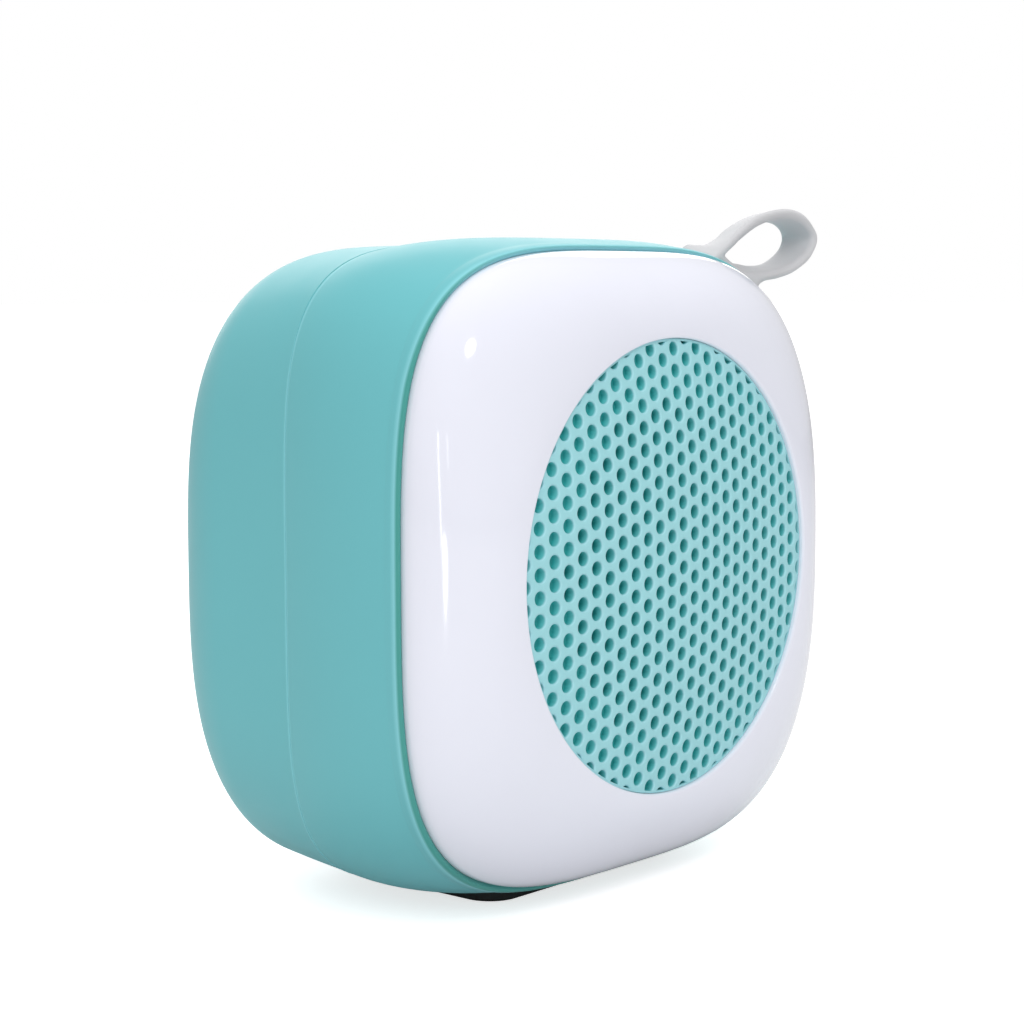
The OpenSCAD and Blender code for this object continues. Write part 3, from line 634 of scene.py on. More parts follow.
def wound(name, colour, wire_mm):
    """Copper: fine turns side by side along the depth."""
    s = Surface(name, {"Metallic": 1.0})
    turns = s.bands(wire_mm, "Y")
    s.colour(turns, 0.1, 0.8, *shades(colour, 0.3))
    s.roughness(s.noise(0.5), 0.22, 0.38)
    s.bump(turns, wire_mm * 0.3)
    return s.material


def satin_case(name, colour, groove_shade_colour, edge_highlight_colour):
    """Satin plastic with a spark texture; painted shade by the bezel, painted highlight on lip and
    seam.
    """
    s = Surface(name, {"Sheen Weight": 0.04, "Sheen Roughness": 0.4, "Specular IOR Level": 0.5})
    axes = s.node("ShaderNodeSeparateXYZ", {"Vector": s.position}).outputs
    # Light from above reaches into the groove at the top, so the bands lie nearer the front there
    lit_from_z, lit_to_z, lit_shift = 22, 36, 0.5
    lit = s.rescale(axes["Z"], (CENTRE_Z + lit_from_z) * MM, (CENTRE_Z + lit_to_z) * MM,
                    -at(0) * MM, (lit_shift - at(0)) * MM)
    depth = s.maths("ADD", axes["Y"], lit)
    # Painted shade in the groove by the bezel, painted highlights on the lip and along the seam
    groove, edge, fade, seam = 0.3, 0.6, 1.1, 0.3
    s.banded(depth, [(LIP_D, groove_shade_colour), (LIP_D + groove, groove_shade_colour),
                     (LIP_D + edge, edge_highlight_colour), (LIP_D + fade, colour), (SEAM_D - seam, colour),
                     (SEAM_D, edge_highlight_colour), (SEAM_D + seam, colour)])
    s.roughness(s.noise(6), 0.36, 0.46)
    s.bump(s.noise(0.18, 2), 0.006)
    return s.material


def deep_holes(name, colour, rim_highlight_colour, hole_shade_colour):
    """The grille: satin plastic with painted rim highlights and painted shade deeper below the
    dome.
    """
    s = Surface(name, {"Specular IOR Level": 0.3})
    centre = s.node("ShaderNodeVectorMath", {0: s.position, 1: (0, at(0) * MM, CENTRE_Z * MM)},
                    operation="SUBTRACT").outputs["Vector"]
    axes = s.node("ShaderNodeSeparateXYZ", {"Vector": centre}).outputs
    r_squared = s.maths("ADD", s.maths("MULTIPLY", axes["X"], axes["X"]),
                        s.maths("MULTIPLY", axes["Z"], axes["Z"]))
    dome = s.maths("MULTIPLY", r_squared, 1 / (2 * DOME_RADIUS * MM))
    depth = s.maths("SUBTRACT", axes["Y"], dome)
    # Painted highlight on the hole rims, then painted shade deeper down the holes
    s.banded(depth, [(0, colour), (0.03, colour), (0.06, rim_highlight_colour), (0.12, rim_highlight_colour),
                     (0.4, mixed(colour, hole_shade_colour)), (1.1, hole_shade_colour)])
    s.roughness(s.noise(5), 0.45, 0.6)
    s.bump(s.noise(0.2, 2), 0.005)
    return s.material


def make_materials():
    """One material for each of the record's slots."""
    gloss = {"Coat Weight": 0.5, "Coat Roughness": 0.03}
    clear = {"Transmission Weight": 0.6, "IOR": 1.49}
    made = [
        # Teal, with painted shade by the bezel and painted highlights on lip and seam
        satin_case("teal_shell", (0.42, 0.74, 0.765), (0.26, 0.61, 0.58), (0.52, 0.81, 0.84)),
        # Grille teal, with painted highlights on hole rims and painted shade down the holes
        deep_holes("teal_grille", (0.635, 0.86, 0.885), (0.69, 0.895, 0.925), (0.23, 0.72, 0.72)),
        moulded("white_bezel", (0.925, 0.93, 0.975), 0.09, change=0.008, grain_mm=2.5,
                grain_depth=0.001, values=gloss),
        moulded("silicone", (0.80, 0.80, 0.81), 0.6, change=0.03, grain_mm=0.15,
                grain_depth=0.006),
        metal("steel", (0.70, 0.71, 0.73), 0.35, stretch=(1, 8, 1)),
        metal("plated_steel", (0.80, 0.80, 0.81), 0.2),
        moulded("black_plastic", (0.075, 0.075, 0.08), 0.5, change=0.15),
        moulded("white_plastic", (0.88, 0.88, 0.85), 0.45),
        moulded("clear_plastic", (0.90, 0.93, 0.96), 0.15, values=clear),
        woven("cloth", (0.06, 0.34, 0.34), 0.4),
        cellular("foam", (0.12, 0.12, 0.13), 0.35, 0.95, 0.08),
        moulded("black_rubber", (0.07, 0.07, 0.075), 0.6, change=0.15, grain_mm=0.4,
                grain_depth=0.02),
        cellular("paper_cone", (0.14, 0.14, 0.15), 0.5, 0.85, 0.06),
        woven("spider_cloth", (0.72, 0.53, 0.28), 0.5),
        cellular("ferrite", (0.17, 0.17, 0.18), 0.4, 0.6, 0.02, change=0.2),
        wound("copper", (0.72, 0.42, 0.25), 0.2),
        circuit("circuit_board", (0.09, 0.33, 0.21), (0.20, 0.50, 0.33)),
        metal("battery_foil", (0.72, 0.73, 0.75), 0.4, relief=0.03),
        moulded("red_wire", (0.78, 0.17, 0.14), 0.4),
        moulded("black_wire", (0.08, 0.08, 0.09), 0.4),
    ]
    # Blender adds a number to a name that an imported material has already
    return {material.name.partition(".")[0]: material for material in made}


# ---- Bezel and shells ----

def front_side(t, inset=0.0):
    """Section of the front shell's side, from its lip (0) to the seam (1)."""
    return (mix(SIDE_START_D, SEAM_D, t), CASE_HALF - inset + 4 * FRONT_BULGE * t * (1 - t),
            mix(BEZEL_N, SEAM_N, t))


def lip(angle):
    """Section of the front lip's rounding, from the side (0) to the front (90)."""
    s, c = math.sin(math.radians(angle)), math.cos(math.radians(angle))
    return (mix(SIDE_START_D, LIP_D, s), CASE_HALF - LIP_WIDTH * (1 - c), BEZEL_N)


def back_edge(angle, inset=0.0):
    """Section of the back edge's rounding, from the side (0) to the flat back (90)."""
    s, c = math.sin(math.radians(angle)), math.cos(math.radians(angle))
    return (ROUND_START_D + (BACK_ROUND - inset) * s,
            CASE_HALF - BACK_ROUND + (BACK_ROUND - inset) * c,
            mix(ROUND_N, BACK_N, s))


def back_side(d):
    """Section of the back shell's side, a hair proud of the front shell at the seam."""
    proud, fade = 0.05, 2.5
    flare = proud * max(0.0, 1 - (d - SEAM_D) / fade) ** 2
    t = (ROUND_START_D - d) / (ROUND_START_D - SEAM_D)
    return (d, CASE_HALF + flare, mix(ROUND_N, SEAM_N, t))


def bezel_dome(t, edge_d, edge_half, end_d, end_r):
    """Section of the bezel's dome, from its edge (0) to its opening (1)."""
    rise = max(0.0, 1 - t ** BEZEL_CURVE) ** (1 / BEZEL_CURVE)
    return (mix(edge_d, end_d, t), end_r + (edge_half - end_r) * rise,
            2 + (BEZEL_N - 2) * math.sqrt(1 - t))


def make_bezel():
    """Domed frame with a rounded opening edge, and the posts that hold it to the front shell."""
    edge_r = 0.35
    back_opening_d = 3.5
    post_proud = 0.6
    # Rows lie closer together near the opening, where the dome turns flat
    outer_spread, inner_spread = 2.2, 0.7
    rows = [bezel_dome(1 - (1 - u) ** outer_spread, BEZEL_EDGE_D, BEZEL_HALF, OPENING_D,
                       OPENING_R + edge_r)
            for u in np.linspace(0, 1, 48)]
    rows += [(d, half, 2) for d, half in arc(OPENING_D + edge_r, OPENING_R + edge_r, edge_r,
                                              180, 270, 8)[1:]]
    rows += [bezel_dome(t, BEZEL_FOOT_D, BEZEL_HALF - BEZEL_WALL, back_opening_d, OPENING_R)
             for t in np.linspace(1, 0, 24) ** inner_spread]
    rows.append((BEZEL_FOOT_D, BEZEL_HALF, BEZEL_N))
    bezel = loft("bezel", rows)
    posts = [rod("post", place, BEZEL_POST_D, DECK_BACK_D + post_proud, BEZEL_POST_R)
             for place in four_ways(BEZEL_POST_AT)]
    return join(bezel, posts)


def pad_pocket():
    """Space for the base pad in both shells."""
    pocket = rounded_rect(PAD_SIZE[0] + 2 * PAD_GAP, PAD_SIZE[1] + 2 * PAD_GAP, PAD_CORNER)
    return plate("pad_pocket", pocket, [(-PAST, 0), (PAD_TOP + 0.05, 0)])


def make_front_case():
    """Front half of the case: lip, deck, driver drum and baffle, tongue and screw bosses."""
    groove_half = BEZEL_HALF + 0.01
    drum_r, drum_inner_r, opening_r = 29.5, 27.5, 21.0
    baffle_d, baffle_back_d = 5.45, 7.45
    tongue_d = SEAM_D + 1.2
    middle_half = CASE_HALF - WALL / 2
    edge_r = 0.03
    rows = [(DECK_D, groove_half, BEZEL_N), (DECK_D, drum_r, 2), (baffle_d, drum_r, 2),
            (baffle_d, opening_r, 2), (baffle_back_d, opening_r, 2),
            (baffle_back_d, drum_inner_r, 2), (DECK_BACK_D, drum_inner_r, 2),
            (DECK_BACK_D, INNER_HALF, BEZEL_N)]
    rows += [front_side(t, WALL) for t in np.linspace(0.1, 0.95, 8)]
    rows += [(tongue_d, INNER_HALF, SEAM_N), (tongue_d, middle_half, SEAM_N),
             (SEAM_D, middle_half, SEAM_N), (SEAM_D, CASE_HALF - edge_r, SEAM_N)]
    rows += [(d, half, SEAM_N) for d, half in arc(SEAM_D - edge_r, CASE_HALF - edge_r, edge_r,
                                                  0, 90, 4)[1:]]
    rows += [front_side(t) for t in np.linspace(0.996, 0, 41)]
    rows += [lip(angle) for angle in np.linspace(0, 90, 14)[1:]]
    # The lip turns down into the groove round the bezel
    rows += [(LIP_D + down, mix(groove_half, lip(90)[1], t), BEZEL_N)
             for down, t in ((0.05, 0.65), (0.15, 0.3), (0.3, 0))]
    case = loft("front_case", rows)
    cut(case, [rod("post_hole", place, DECK_D - PAST, DECK_BACK_D + PAST, BEZEL_POST_R + 0.1)
               for place in four_ways(BEZEL_POST_AT)] + [strap_slot(), pad_pocket()])
    case_boss_r, driver_boss_r, root = 3.6, 2.2, 0.5
    bosses = [boss(place, case_boss_r, CASE_SCREW_R, DECK_D + root, SEAM_D, CASE_PILOT_D)
              for place in four_corners(CASE_SCREW_AT)]
    bosses += [boss(place, driver_boss_r, SMALL_SCREW_R, baffle_back_d - root, DRIVER_BOSS_D,
                    DRIVER_PILOT_D, 32)
               for place in four_corners(EAR_AT / math.sqrt(2))]
    bosses.append(pin_block())
    return even_shading(join(case, bosses))


def back_opening(name, outline, place):
    """Cutter for an opening in the flat back, with a softly rounded outer edge."""
    soft = 0.22
    edge = [(CASE_DEPTH - down, across) for across, down in quarter_round(soft, 5)]
    return prism(name, outline, [(BACK_INNER_D - PAST, 0)] + edge + [(CASE_DEPTH + PAST, soft)],
                 place)


def disc(r, segments=64):
    """(x, z) points of a circle."""
    return squircle(r, 2, segments)


def back_openings():
    """Cutters for everything that opens in the flat back."""
    key_gap, usb_gap, card_gap = 0.25, 0.3, 0.1
    keys = [back_opening("key_hole", disc(KEY_R + key_gap), (i * KEY_PITCH, KEY_Z))
            for i in (-1, 0, 1)]
    wells = [rod("well", place, WELL_FLOOR_D, CASE_DEPTH + PAST, WELL_R + 0.02)
             for place in four_corners(CASE_SCREW_AT)]
    usb = rounded_rect(USB_SIZE[0] + 2 * usb_gap, USB_SIZE[1] + 2 * usb_gap, 0.8)
    card = rounded_rect(CARD_SIZE[0] + 2 * card_gap, CARD_SIZE[1] + 2 * card_gap, 0.5)
    return keys + wells + [
        back_opening("led_hole", disc(LED_OPENING_R), LED_AT),
        back_opening("microphone_hole", disc(MICROPHONE_OPENING_R, 32), MICROPHONE_AT),
        back_opening("aux_hole", disc(AUX_OPENING_R), AUX_AT),
        back_opening("usb_hole", usb, USB_AT),
        back_opening("card_hole", card, CARD_AT),
        back_opening("switch_hole", rounded_rect(*SWITCH_OPENING, 0.6), SWITCH_AT)]


def board_rail(side):
    """Ribs on a side wall, above and below an edge of the main board, and the web between."""
    rib_height, lap, gap, web_gap = 2, 0.9, 0.05, 0.1
    inner_x = BOARD_HALF_WIDTH - lap
    wall_line = [back_edge(a, WALL / 2)[:2] for a in range(0, 91, 15)]
    ribs = []
    for x, low, high in ((inner_x, BOARD_Z - rib_height, BOARD_Z - gap),
                         (BOARD_HALF_WIDTH + web_gap, BOARD_Z - web_gap, BOARD_TOP_Z + web_gap),
                         (inner_x, BOARD_TOP_Z + gap, BOARD_TOP_Z + rib_height)):
        outline = [(x, BOARD_FRONT_D), (CASE_HALF - WALL / 2, BOARD_FRONT_D)]
        outline += [(half, d) for d, half in wall_line if half > x + 0.1]
        outline.append((x, wall_line[-1][0] - 0.3))
        ribs.append(plate("rail", [(side * half, at(d)) for half, d in outline[::side]],
                          [(CENTRE_Z + low, 0), (CENTRE_Z + high, 0)]))
    return ribs


def make_back_case():
    """Back half of the case, with its openings, screw bosses and board rails."""
    rebate_half = CASE_HALF - WALL / 2 + 0.15
    rebate_d = SEAM_D + 1.35
    edge_r = 0.05
    # A row just inside the flat back's edge keeps its shading even
    rows = [(CASE_DEPTH, 0.94 * back_edge(90)[1], BACK_N)]
    rows += [back_edge(a) for a in np.linspace(90, 0, 40)]
    rows += [back_side(d) for d in np.linspace(ROUND_START_D, SEAM_D + edge_r, 24)[1:]]
    rows += [(d, half, SEAM_N) for d, half in arc(SEAM_D + edge_r,
                                                  back_side(SEAM_D)[1] - edge_r, edge_r,
                                                  90, 180, 6)[1:]]
    rows += [(SEAM_D, rebate_half, SEAM_N), (rebate_d, rebate_half, SEAM_N),
             (rebate_d, INNER_HALF, SEAM_N)]
    rows += [back_edge(a, WALL) for a in np.linspace(0, 90, 24)]
    case = loft("back_case", rows, closed=False)
    cut(case, back_openings() + [pad_pocket()])
    boss_r, boss_hole_r, key_boss_r = 4.2, 1.35, 2
    boss_d, boss_end_d = SEAM_D + 0.1, BACK_INNER_D + 0.05
    parts = [turned("boss", [(boss_hole_r, boss_d), (boss_r, boss_d), (boss_r, boss_end_d),
                             (WELL_R, boss_end_d), (WELL_R, WELL_FLOOR_D),
                             (boss_hole_r, WELL_FLOOR_D)], *place, 48)
             for place in four_corners(CASE_SCREW_AT)]
    parts += [boss((side * KEY_SCREW_AT, KEY_SCREW_Z), key_boss_r, SMALL_SCREW_R,
                   BACK_INNER_D + 0.5, KEY_BOARD_BACK_D, KEY_PILOT_D, 32)
              for side in (-1, 1)]
    return even_shading(join(case, parts + board_rail(-1) + board_rail(1)))


# ---- Grille ----

def dome_d(r):
    """Depth of the grille's dome at a radius."""
    return DOME_RADIUS - np.sqrt(DOME_RADIUS ** 2 - r ** 2)


def field_point(p, depth, field_r):
    """A point of the perforated field, held inside its round edge."""
    r = np.linalg.norm(p)
    if r > field_r:
        p = p * field_r / r
        r = field_r
    return (p[0], at(dome_d(r) + depth), CENTRE_Z + p[1])


def grille_cell(centre, field_r):
    """Points and faces of one hexagonal cell with a soft-edged hole or a blind dimple."""
    sides = 24
    soft = 0.25
    floor_chamfer = (0.2, 0.15)
    angle = np.arange(sides) * 2 * np.pi / sides
    circle = np.stack([np.cos(angle), np.sin(angle)], axis=1)
    corner = (angle % (np.pi / 3)) - np.pi / 6
    hexagon = (HOLE_PITCH / 2 / np.cos(corner))[:, None] * circle
    edge = [(across, HOLE_R + down) for across, down in quarter_round(soft, 6)]
    through = np.linalg.norm(centre) < THROUGH_R
    rings = [(0.0, hexagon)] + [(depth, r * circle) for depth, r in edge]
    if through:
        rings += [(GRILLE_THICKNESS, HOLE_R * circle), (GRILLE_THICKNESS, hexagon)]
    else:
        rings += [(DIMPLE_DEPTH - floor_chamfer[1], HOLE_R * circle),
                  (DIMPLE_DEPTH, (HOLE_R - floor_chamfer[0]) * circle)]
    points = [field_point(p, depth, field_r) for depth, ring in rings for p in centre + ring]
    faces = skin_faces(len(rings), sides, closed=False)[:-2]
    if not through:
        faces.append(tuple(range(len(points) - sides, len(points))))
        faces.append(tuple(range(len(points), len(points) + sides)))
        points += [field_point(p, GRILLE_THICKNESS, field_r) for p in centre + hexagon]
    return points, faces


def merge_cells(obj):
    """Joins the cells, and closes the round edge with a wall from the dome to its back."""
    bm = bmesh.new()
    bm.from_mesh(obj.data)
    bmesh.ops.remove_doubles(bm, verts=bm.verts, dist=0.001 * MM)
    bmesh.ops.bridge_loops(bm, edges=[edge for edge in bm.edges if edge.is_boundary])
    bm.to_mesh(obj.data)
    bm.free()


def make_grille():
    """Perforated dome of hexagonal cells, one per hole, on a flanged ring."""
    field_r = GRILLE_R - 0.08
    column = HOLE_PITCH * math.sqrt(3) / 2
    reach = int(field_r / column) + 2
    points, faces = [], []
    for c in range(-reach, reach + 1):
        for r in range(-reach, reach + 1):
            centre = np.array([c * column, (r + 0.5 * (c % 2)) * HOLE_PITCH])
            if np.linalg.norm(centre) < field_r + HOLE_PITCH / 2:
                cell_points, cell_faces = grille_cell(centre, field_r)
                faces += [tuple(len(points) + i for i in f) for f in cell_faces]
                points += cell_points
    field = make_object("grille_face", points, faces)
    merge_cells(field)
    edge_d = float(dome_d(field_r))
    wall_r = field_r - 0.02
    rim_r = OPENING_R - 0.05
    hollow_d = edge_d + GRILLE_THICKNESS
    ring = turned("ring", [(wall_r, edge_d + 0.01), (field_r, edge_d), (rim_r, edge_d + 0.08),
                           (rim_r, GRILLE_FLANGE_D), (GRILLE_FLANGE_R, GRILLE_FLANGE_D),
                           (GRILLE_FLANGE_R, GRILLE_BACK_D), (GRILLE_HOLLOW_R, GRILLE_BACK_D),
                           (GRILLE_HOLLOW_R, hollow_d), (wall_r, hollow_d)], segments=SEGMENTS)
    join(field, [ring])
    finish_normals(field, smooth_angle=50)
    return field


# ---- Carry loop ----

STRAP_D = 12.5
STRAP_WIDTH = 5.4
STRAP_TILT = 25.0
TONGUE_D = STRAP_D + 1
TONGUE_WIDTH = 4.0
TONGUE_THICKNESS = 1.6
TONGUE_LENGTH = 6.0
PIN_AT = (23.7, 29.4)
PIN_R = 0.9
EYE_R = 1.9

# Closed [x, z] edges of the band, from its left foot over the top to the tip and back under it
STRAP_OUTER_FRONT = [(22.8, 35.4), (24.2, 36.5), (26, 37.8), (28.2, 39.2), (32, 41), (36.3, 41.9),
                     (40.5, 42), (44, 40.9), (46.2, 38.5), (44.8, 35.9), (41, 34), (37.2, 33.1),
                     (34.2, 32.7), (32.6, 31.9), (31.5, 30.2), (29.2, 32.05), (26.4, 33.85),
                     (24.6, 34.65)]
STRAP_INNER_FRONT = [(25.4, 35.9), (25.9, 36.4), (27.3, 37.2), (29, 38.2), (32.6, 39.8),
                     (36.6, 40.7), (40.2, 40.8), (43.2, 40), (45, 38.5), (43.9, 36.8),
                     (40.5, 35.1), (37, 34.3), (33.9, 33.9), (32.2, 33.8), (30.8, 33.8),
                     (29.3, 34), (27.6, 34.7), (26.1, 35.4)]
STRAP_OUTER_REAR = [(22.9, 36.55), (23.8, 37.4), (26.6, 37.2), (29.4, 37.8), (32.4, 39.4),
                    (36.6, 40.9), (40.6, 41.6), (44.1, 41.1), (46.2, 38.6), (44.7, 35.8),
                    (40.9, 34), (37.5, 33.5), (35, 33.6), (33.8, 33), (32.6, 31.3), (30.3, 33.1),
                    (27.4, 34.9), (25.2, 35.8)]
STRAP_INNER_REAR = [(28, 36.1), (28.5, 36.3), (29.3, 36.6), (30.4, 37.1), (32.9, 38.4),
                    (36.8, 39.7), (40.3, 40.4), (43.2, 40.1), (45, 38.6), (43.8, 36.7),
                    (40.5, 35.1), (37.2, 34.8), (34.5, 35.1), (33, 35.2), (31.7, 35.2),
                    (30.4, 35.3), (29.3, 35.5), (28.5, 35.8)]


def smooth_loop(route, steps):
    """Points of a smooth closed curve through the route's points."""
    p1 = np.array(route, float)
    p0, p2, p3 = np.roll(p1, 1, axis=0), np.roll(p1, -1, axis=0), np.roll(p1, -2, axis=0)
    out = []
    for i in range(len(p1)):
        for t in np.arange(steps) / steps:
            out.append(0.5 * (2 * p1[i] + (p2[i] - p0[i]) * t
                              + (2 * p0[i] - 5 * p1[i] + 4 * p2[i] - p3[i]) * t ** 2
                              + (3 * p1[i] - p0[i] - 3 * p2[i] + p3[i]) * t ** 3))
    return np.array(out)


def along_tongue(obj):
    """Moves a piece made at the case's middle to the pin, with Z out through the shell."""
    pin = Vector((PIN_AT[0], at(TONGUE_D), CENTRE_Z + PIN_AT[1])) * MM
    turn = Matrix.Rotation(math.radians(STRAP_TILT), 4, "Y")
    obj.data.transform(Matrix.Translation(pin) @ turn)
    return obj


def tongue_block(name, gap, low, high):
    """The strap's tongue, or with a gap the slot for it, between two distances from the pin."""
    half = TONGUE_THICKNESS / 2 + gap
    outline = [(-half, -gap), (half, -gap), (half, TONGUE_WIDTH + gap), (-half, TONGUE_WIDTH + gap)]
    return along_tongue(plate(name, outline, [(low, 0), (high, 0)]))


def strap_slot():
    """Cutter for the tongue's way through the front shell."""
    return tongue_block("strap_slot", 0.2, EYE_R, EYE_R + TONGUE_LENGTH)


def pin_block():
    """Block behind the slot, with the blind hole for the strap's pin."""
    gap, thickness, hole_depth, half_width = 0.4, 2, 1.5, 2
    below, above = 1.8, 5.4
    d = TONGUE_D + TONGUE_WIDTH + gap
    block = box("pin_block", (PIN_AT[0] - half_width, PIN_AT[0] + half_width),
                (d, d + thickness), (PIN_AT[1] - below, PIN_AT[1] + above))
    cut(block, [rod("pin_hole", PIN_AT, d - PAST, d + hole_depth, PIN_R + 0.05)])
    return block


def make_strap():
    """Soft band with rounded edges, wider at its feet, and the tongue that the pin holds."""
    steps = 8
    outer = [smooth_loop(STRAP_OUTER_FRONT, steps), smooth_loop(STRAP_OUTER_REAR, steps)]
    inner = [smooth_loop(STRAP_INNER_FRONT, steps), smooth_loop(STRAP_INNER_REAR, steps)]
    across = 14
    corner = 0.45
    rings = []
    for face, order in ((outer, 1), (inner, -1)):
        for u in np.linspace(0, 1, across)[::order]:
            edge = min(u, 1 - u) * STRAP_WIDTH
            inset = corner - math.sqrt(max(0.0, corner ** 2 - max(0.0, corner - edge) ** 2))
            line = mix(face[0], face[1], u)
            middle = mix(mix(outer[0], outer[1], u), mix(inner[0], inner[1], u), 0.5)
            towards = middle - line
            towards /= np.linalg.norm(towards, axis=1)[:, None]
            rings.append(depth_ring(line + inset * towards, STRAP_D + u * STRAP_WIDTH))
    band = skin("carry_loop", rings, smooth_angle=70)
    eye = turned("eye", [(PIN_R, TONGUE_D), (EYE_R, TONGUE_D), (EYE_R, TONGUE_D + TONGUE_WIDTH),
                         (PIN_R, TONGUE_D + TONGUE_WIDTH)], *PIN_AT, 48)
    return join(band, [eye, tongue_block("tongue", 0, EYE_R - 0.4, TONGUE_LENGTH)])


# ---- Base pad, keys, switch and screws ----

def make_pad():
    """Rubber pad with a rounded lower edge and three shallow grip grooves."""
    soft = 0.35
    groove_margin, groove_width, groove_depth, groove_pitch = 4, 1.2, 0.25, 5.5
    outline = rounded_rect(*PAD_SIZE, PAD_CORNER, steps=12)
    edge = [(across, -down) for across, down in quarter_round(soft, 7)]
    pad = plate("pad", outline, edge + [(PAD_TOP, 0)])
    groove = rounded_rect(PAD_SIZE[0] - 2 * groove_margin, groove_width, groove_width / 2 - 0.01)
    cut(pad, [plate("groove", groove + [0, i * groove_pitch], [(-PAST, 0), (groove_depth, 0)])
              for i in (-1, 0, 1)])
    return pad


def arrow(x, tip):
    """Triangle about x whose point is at x + tip."""
    corners = [(x + tip, 0), (x - tip, 1), (x - tip, -1)]
    return corners if tip > 0 else corners[::-1]


def bar(x):
    """Narrow upright bar at x."""
    return [(x - 0.25, -1), (x + 0.25, -1), (x + 0.25, 1), (x - 0.25, 1)]


# Raised marks by the key's place from the middle, seen from the back, where X runs to the left
KEY_MARKS = {
    1: [arrow(-0.2, 1), bar(1.2)],
    0: [arrow(0.8, -1), bar(-0.8), bar(-1.7)],
    -1: [arrow(0.2, -1), bar(-1.2)],
}


def make_key(name, i):
    """Round cap with a soft edge, a shallow dish, a retaining flange and raised marks."""
    place = (i * KEY_PITCH, KEY_Z)
    tip_d = CASE_DEPTH + KEY_PROUD
    edge = 0.4
    dish = 0.12
    mark_proud, mark_bevel = 0.2, 0.06
    stem_r = 1.5
    flange_r, flange_back_d = KEY_R + 1.1, KEY_FLANGE_D + 0.9
    dish_r = KEY_R - edge
    profile = [(0, PLUNGER_TIP_D), (stem_r, PLUNGER_TIP_D), (stem_r, KEY_FLANGE_D),
               (flange_r, KEY_FLANGE_D), (flange_r, flange_back_d), (KEY_R, flange_back_d)]
    profile += [(half, d) for d, half in arc(tip_d - edge, dish_r, edge, 90, 0, 9)]
    profile += [(r, tip_d - dish * (1 - (r / dish_r) ** 2)) for r in np.linspace(dish_r, 0, 7)[1:]]
    mark_levels = [(tip_d - 0.3, 0), (tip_d + mark_proud - mark_bevel, 0),
                   (tip_d + mark_proud, -mark_bevel)]
    marks = [prism("mark", mark, mark_levels, place) for mark in KEY_MARKS[i]]
    return join(turned(name, profile, *place), marks)


def make_knob():
    """Slider that a finger moves, with three grip ridges and a socket for the lever."""
    place = (SWITCH_REST_X, SWITCH_AT[1])
    base_d, tip_d = 48, CASE_DEPTH + 0.5
    soft = 0.25
    socket_depth = 1
    ridge_size, ridge_pitch, ridge_proud, ridge_bevel = (0.6, 2.3), 1.3, 0.3, 0.1
    edge = [(tip_d - down, -across) for across, down in quarter_round(soft, 6)]
    knob = prism("knob", rounded_rect(*KNOB_SIZE, 0.5), [(base_d, 0)] + edge, place)
    cut(knob, [prism("socket", rounded_rect(*LEVER_SIZE, 0.1),
                     [(base_d - PAST, 0), (base_d + socket_depth, 0)], place)])
    ridge_levels = [(tip_d - ridge_bevel, 0), (tip_d + ridge_proud - ridge_bevel, 0),
                    (tip_d + ridge_proud, -ridge_bevel)]
    ridges = [prism("ridge", rounded_rect(*ridge_size, 0.25), ridge_levels,
                    (place[0] + i * ridge_pitch, place[1]))
              for i in (-1, 0, 1)]
    return join(knob, ridges)


def make_case_screws():
    """Four pan-head screws with cross recesses, driven in from the back."""
    head_r, head_height, head_round, head_dome = 2.4, 1.8, 0.8, 0.05
    point_r, point_length = 0.5, 1.5
    recess_length, recess_width, recess_depth = 2.9, 0.6, 1.1
    top_d = WELL_FLOOR_D + head_height
    profile = [(0, CASE_SCREW_TIP_D), (point_r, CASE_SCREW_TIP_D),
               (CASE_SCREW_R, CASE_SCREW_TIP_D + point_length),
               (CASE_SCREW_R, WELL_FLOOR_D), (head_r, WELL_FLOOR_D)]
    profile += [(half, d) for d, half in arc(top_d - head_round, head_r - head_round, head_round,
                                             90, 0, 8)]
    profile.append((0, top_d + head_dome))
    recess_levels = [(top_d - recess_depth, -0.1), (top_d - 0.3, 0), (top_d + PAST, 0.05)]
    screws = []
    for place in four_corners(CASE_SCREW_AT):
        screw = turned("screw", profile, *place, 48)
        cross = [prism("recess", rounded_rect(width, height, 0.15), recess_levels, place)
                 for width, height in ((recess_length, recess_width),
                                       (recess_width, recess_length))]
        for recess in cross:
            cut(screw, [recess])
        screws.append(screw)
    return join(screws[0], screws[1:])


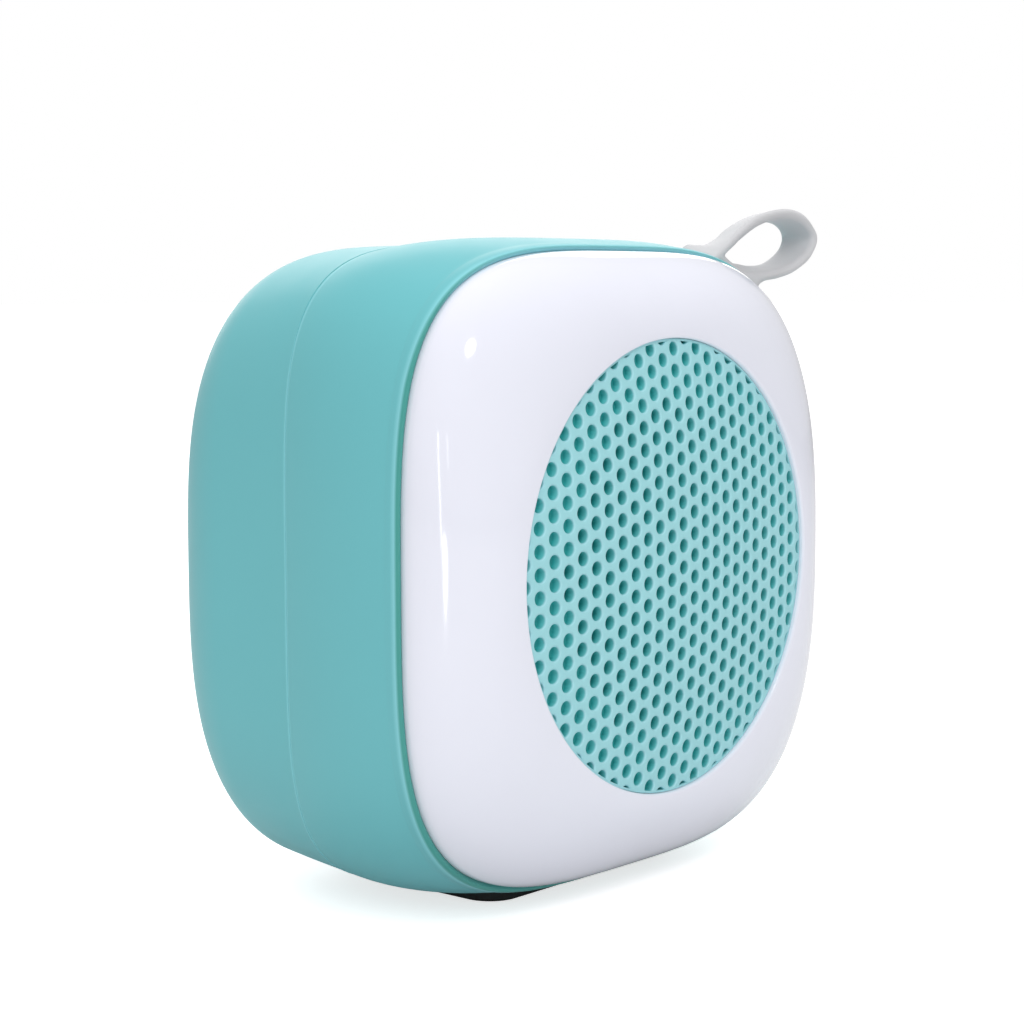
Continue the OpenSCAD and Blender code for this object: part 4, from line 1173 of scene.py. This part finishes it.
def make_light_pipe():
    """Clear pin with a lens tip and a collar behind the wall."""
    pipe_r, collar_r, tip_round, tip_proud = 1.2, 1.9, 0.35, 0.13
    start_d = KEY_BOARD_BACK_D + 1.1
    collar_d, collar_back_d = BACK_INNER_D - 1.2, BACK_INNER_D - 0.1
    profile = [(0, start_d), (pipe_r, start_d), (pipe_r, collar_d), (collar_r, collar_d),
               (collar_r, collar_back_d), (pipe_r, collar_back_d)]
    profile += [(half, d) for d, half in arc(CASE_DEPTH - 0.25, pipe_r - tip_round, tip_round,
                                             90, 0, 6)]
    profile.append((0, CASE_DEPTH + tip_proud))
    return turned("pipe", profile, *LED_AT, 48)


def make_usb_shell():
    """Folded metal shell of the charging socket, narrower at its lower side."""
    half_width, half_height = USB_SIZE[0] / 2, USB_SIZE[1] / 2
    outline = [(-half_width + 1.1, -half_height), (half_width - 1.1, -half_height),
               (half_width - 0.2, -0.35), (half_width, 0.1), (half_width, half_height - 0.5),
               (half_width - 0.5, half_height), (-half_width + 0.5, half_height),
               (-half_width, half_height - 0.5), (-half_width, 0.1), (-half_width + 0.2, -0.35)]
    front_d, back_d = 45.0, CASE_DEPTH - 0.3
    sheet, end_wall = 0.3, 0.5
    shell = prism("usb", outline, [(front_d, 0), (back_d, 0)], USB_AT)
    socket_levels = [(front_d + end_wall, -sheet), (back_d + PAST, -sheet)]
    cut(shell, [prism("socket", outline, socket_levels, USB_AT)])
    return shell


# ---- Build ----

def add_piece(obj, body, slot, replaced):
    """Puts a finished piece on its body, in place of its CAD node."""
    obj.data.materials.clear()
    obj.data.materials.append(MATERIALS[slot])
    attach(obj, body)
    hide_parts(replaced)


def dress_cad_nodes():
    """Gives every CAD node that still shows the material of its slot."""
    for part in frame["record"]["subparts"]:
        node = NODES[part["node"]]
        if not node.hide_render:
            node.data.materials.clear()
            node.data.materials.append(MATERIALS[part["material_slot"]])


make_camera()
make_studio()
make_floor()
MATERIALS = make_materials()

for make, slot, node in ((make_bezel, "white_bezel", "front_bezel"),
                         (make_grille, "teal_grille", "grille"),
                         (make_front_case, "teal_shell", "front_shell"),
                         (make_back_case, "teal_shell", "back_shell"),
                         (make_strap, "silicone", "strap"),
                         (make_pad, "black_rubber", "base_pad"),
                         (make_case_screws, "steel", "case_screws"),
                         (make_light_pipe, "clear_plastic", "light_pipe"),
                         (make_usb_shell, "plated_steel", "usb_shell")):
    add_piece(make(), "case", slot, node)
add_piece(make_knob(), "switch_slider", "black_plastic", "switch_knob")
for place, key in ((1, "previous"), (0, "play"), (-1, "next")):
    add_piece(make_key(key + "_cap", place), key + "_key", "teal_shell", key + "_button")
dress_cad_nodes()
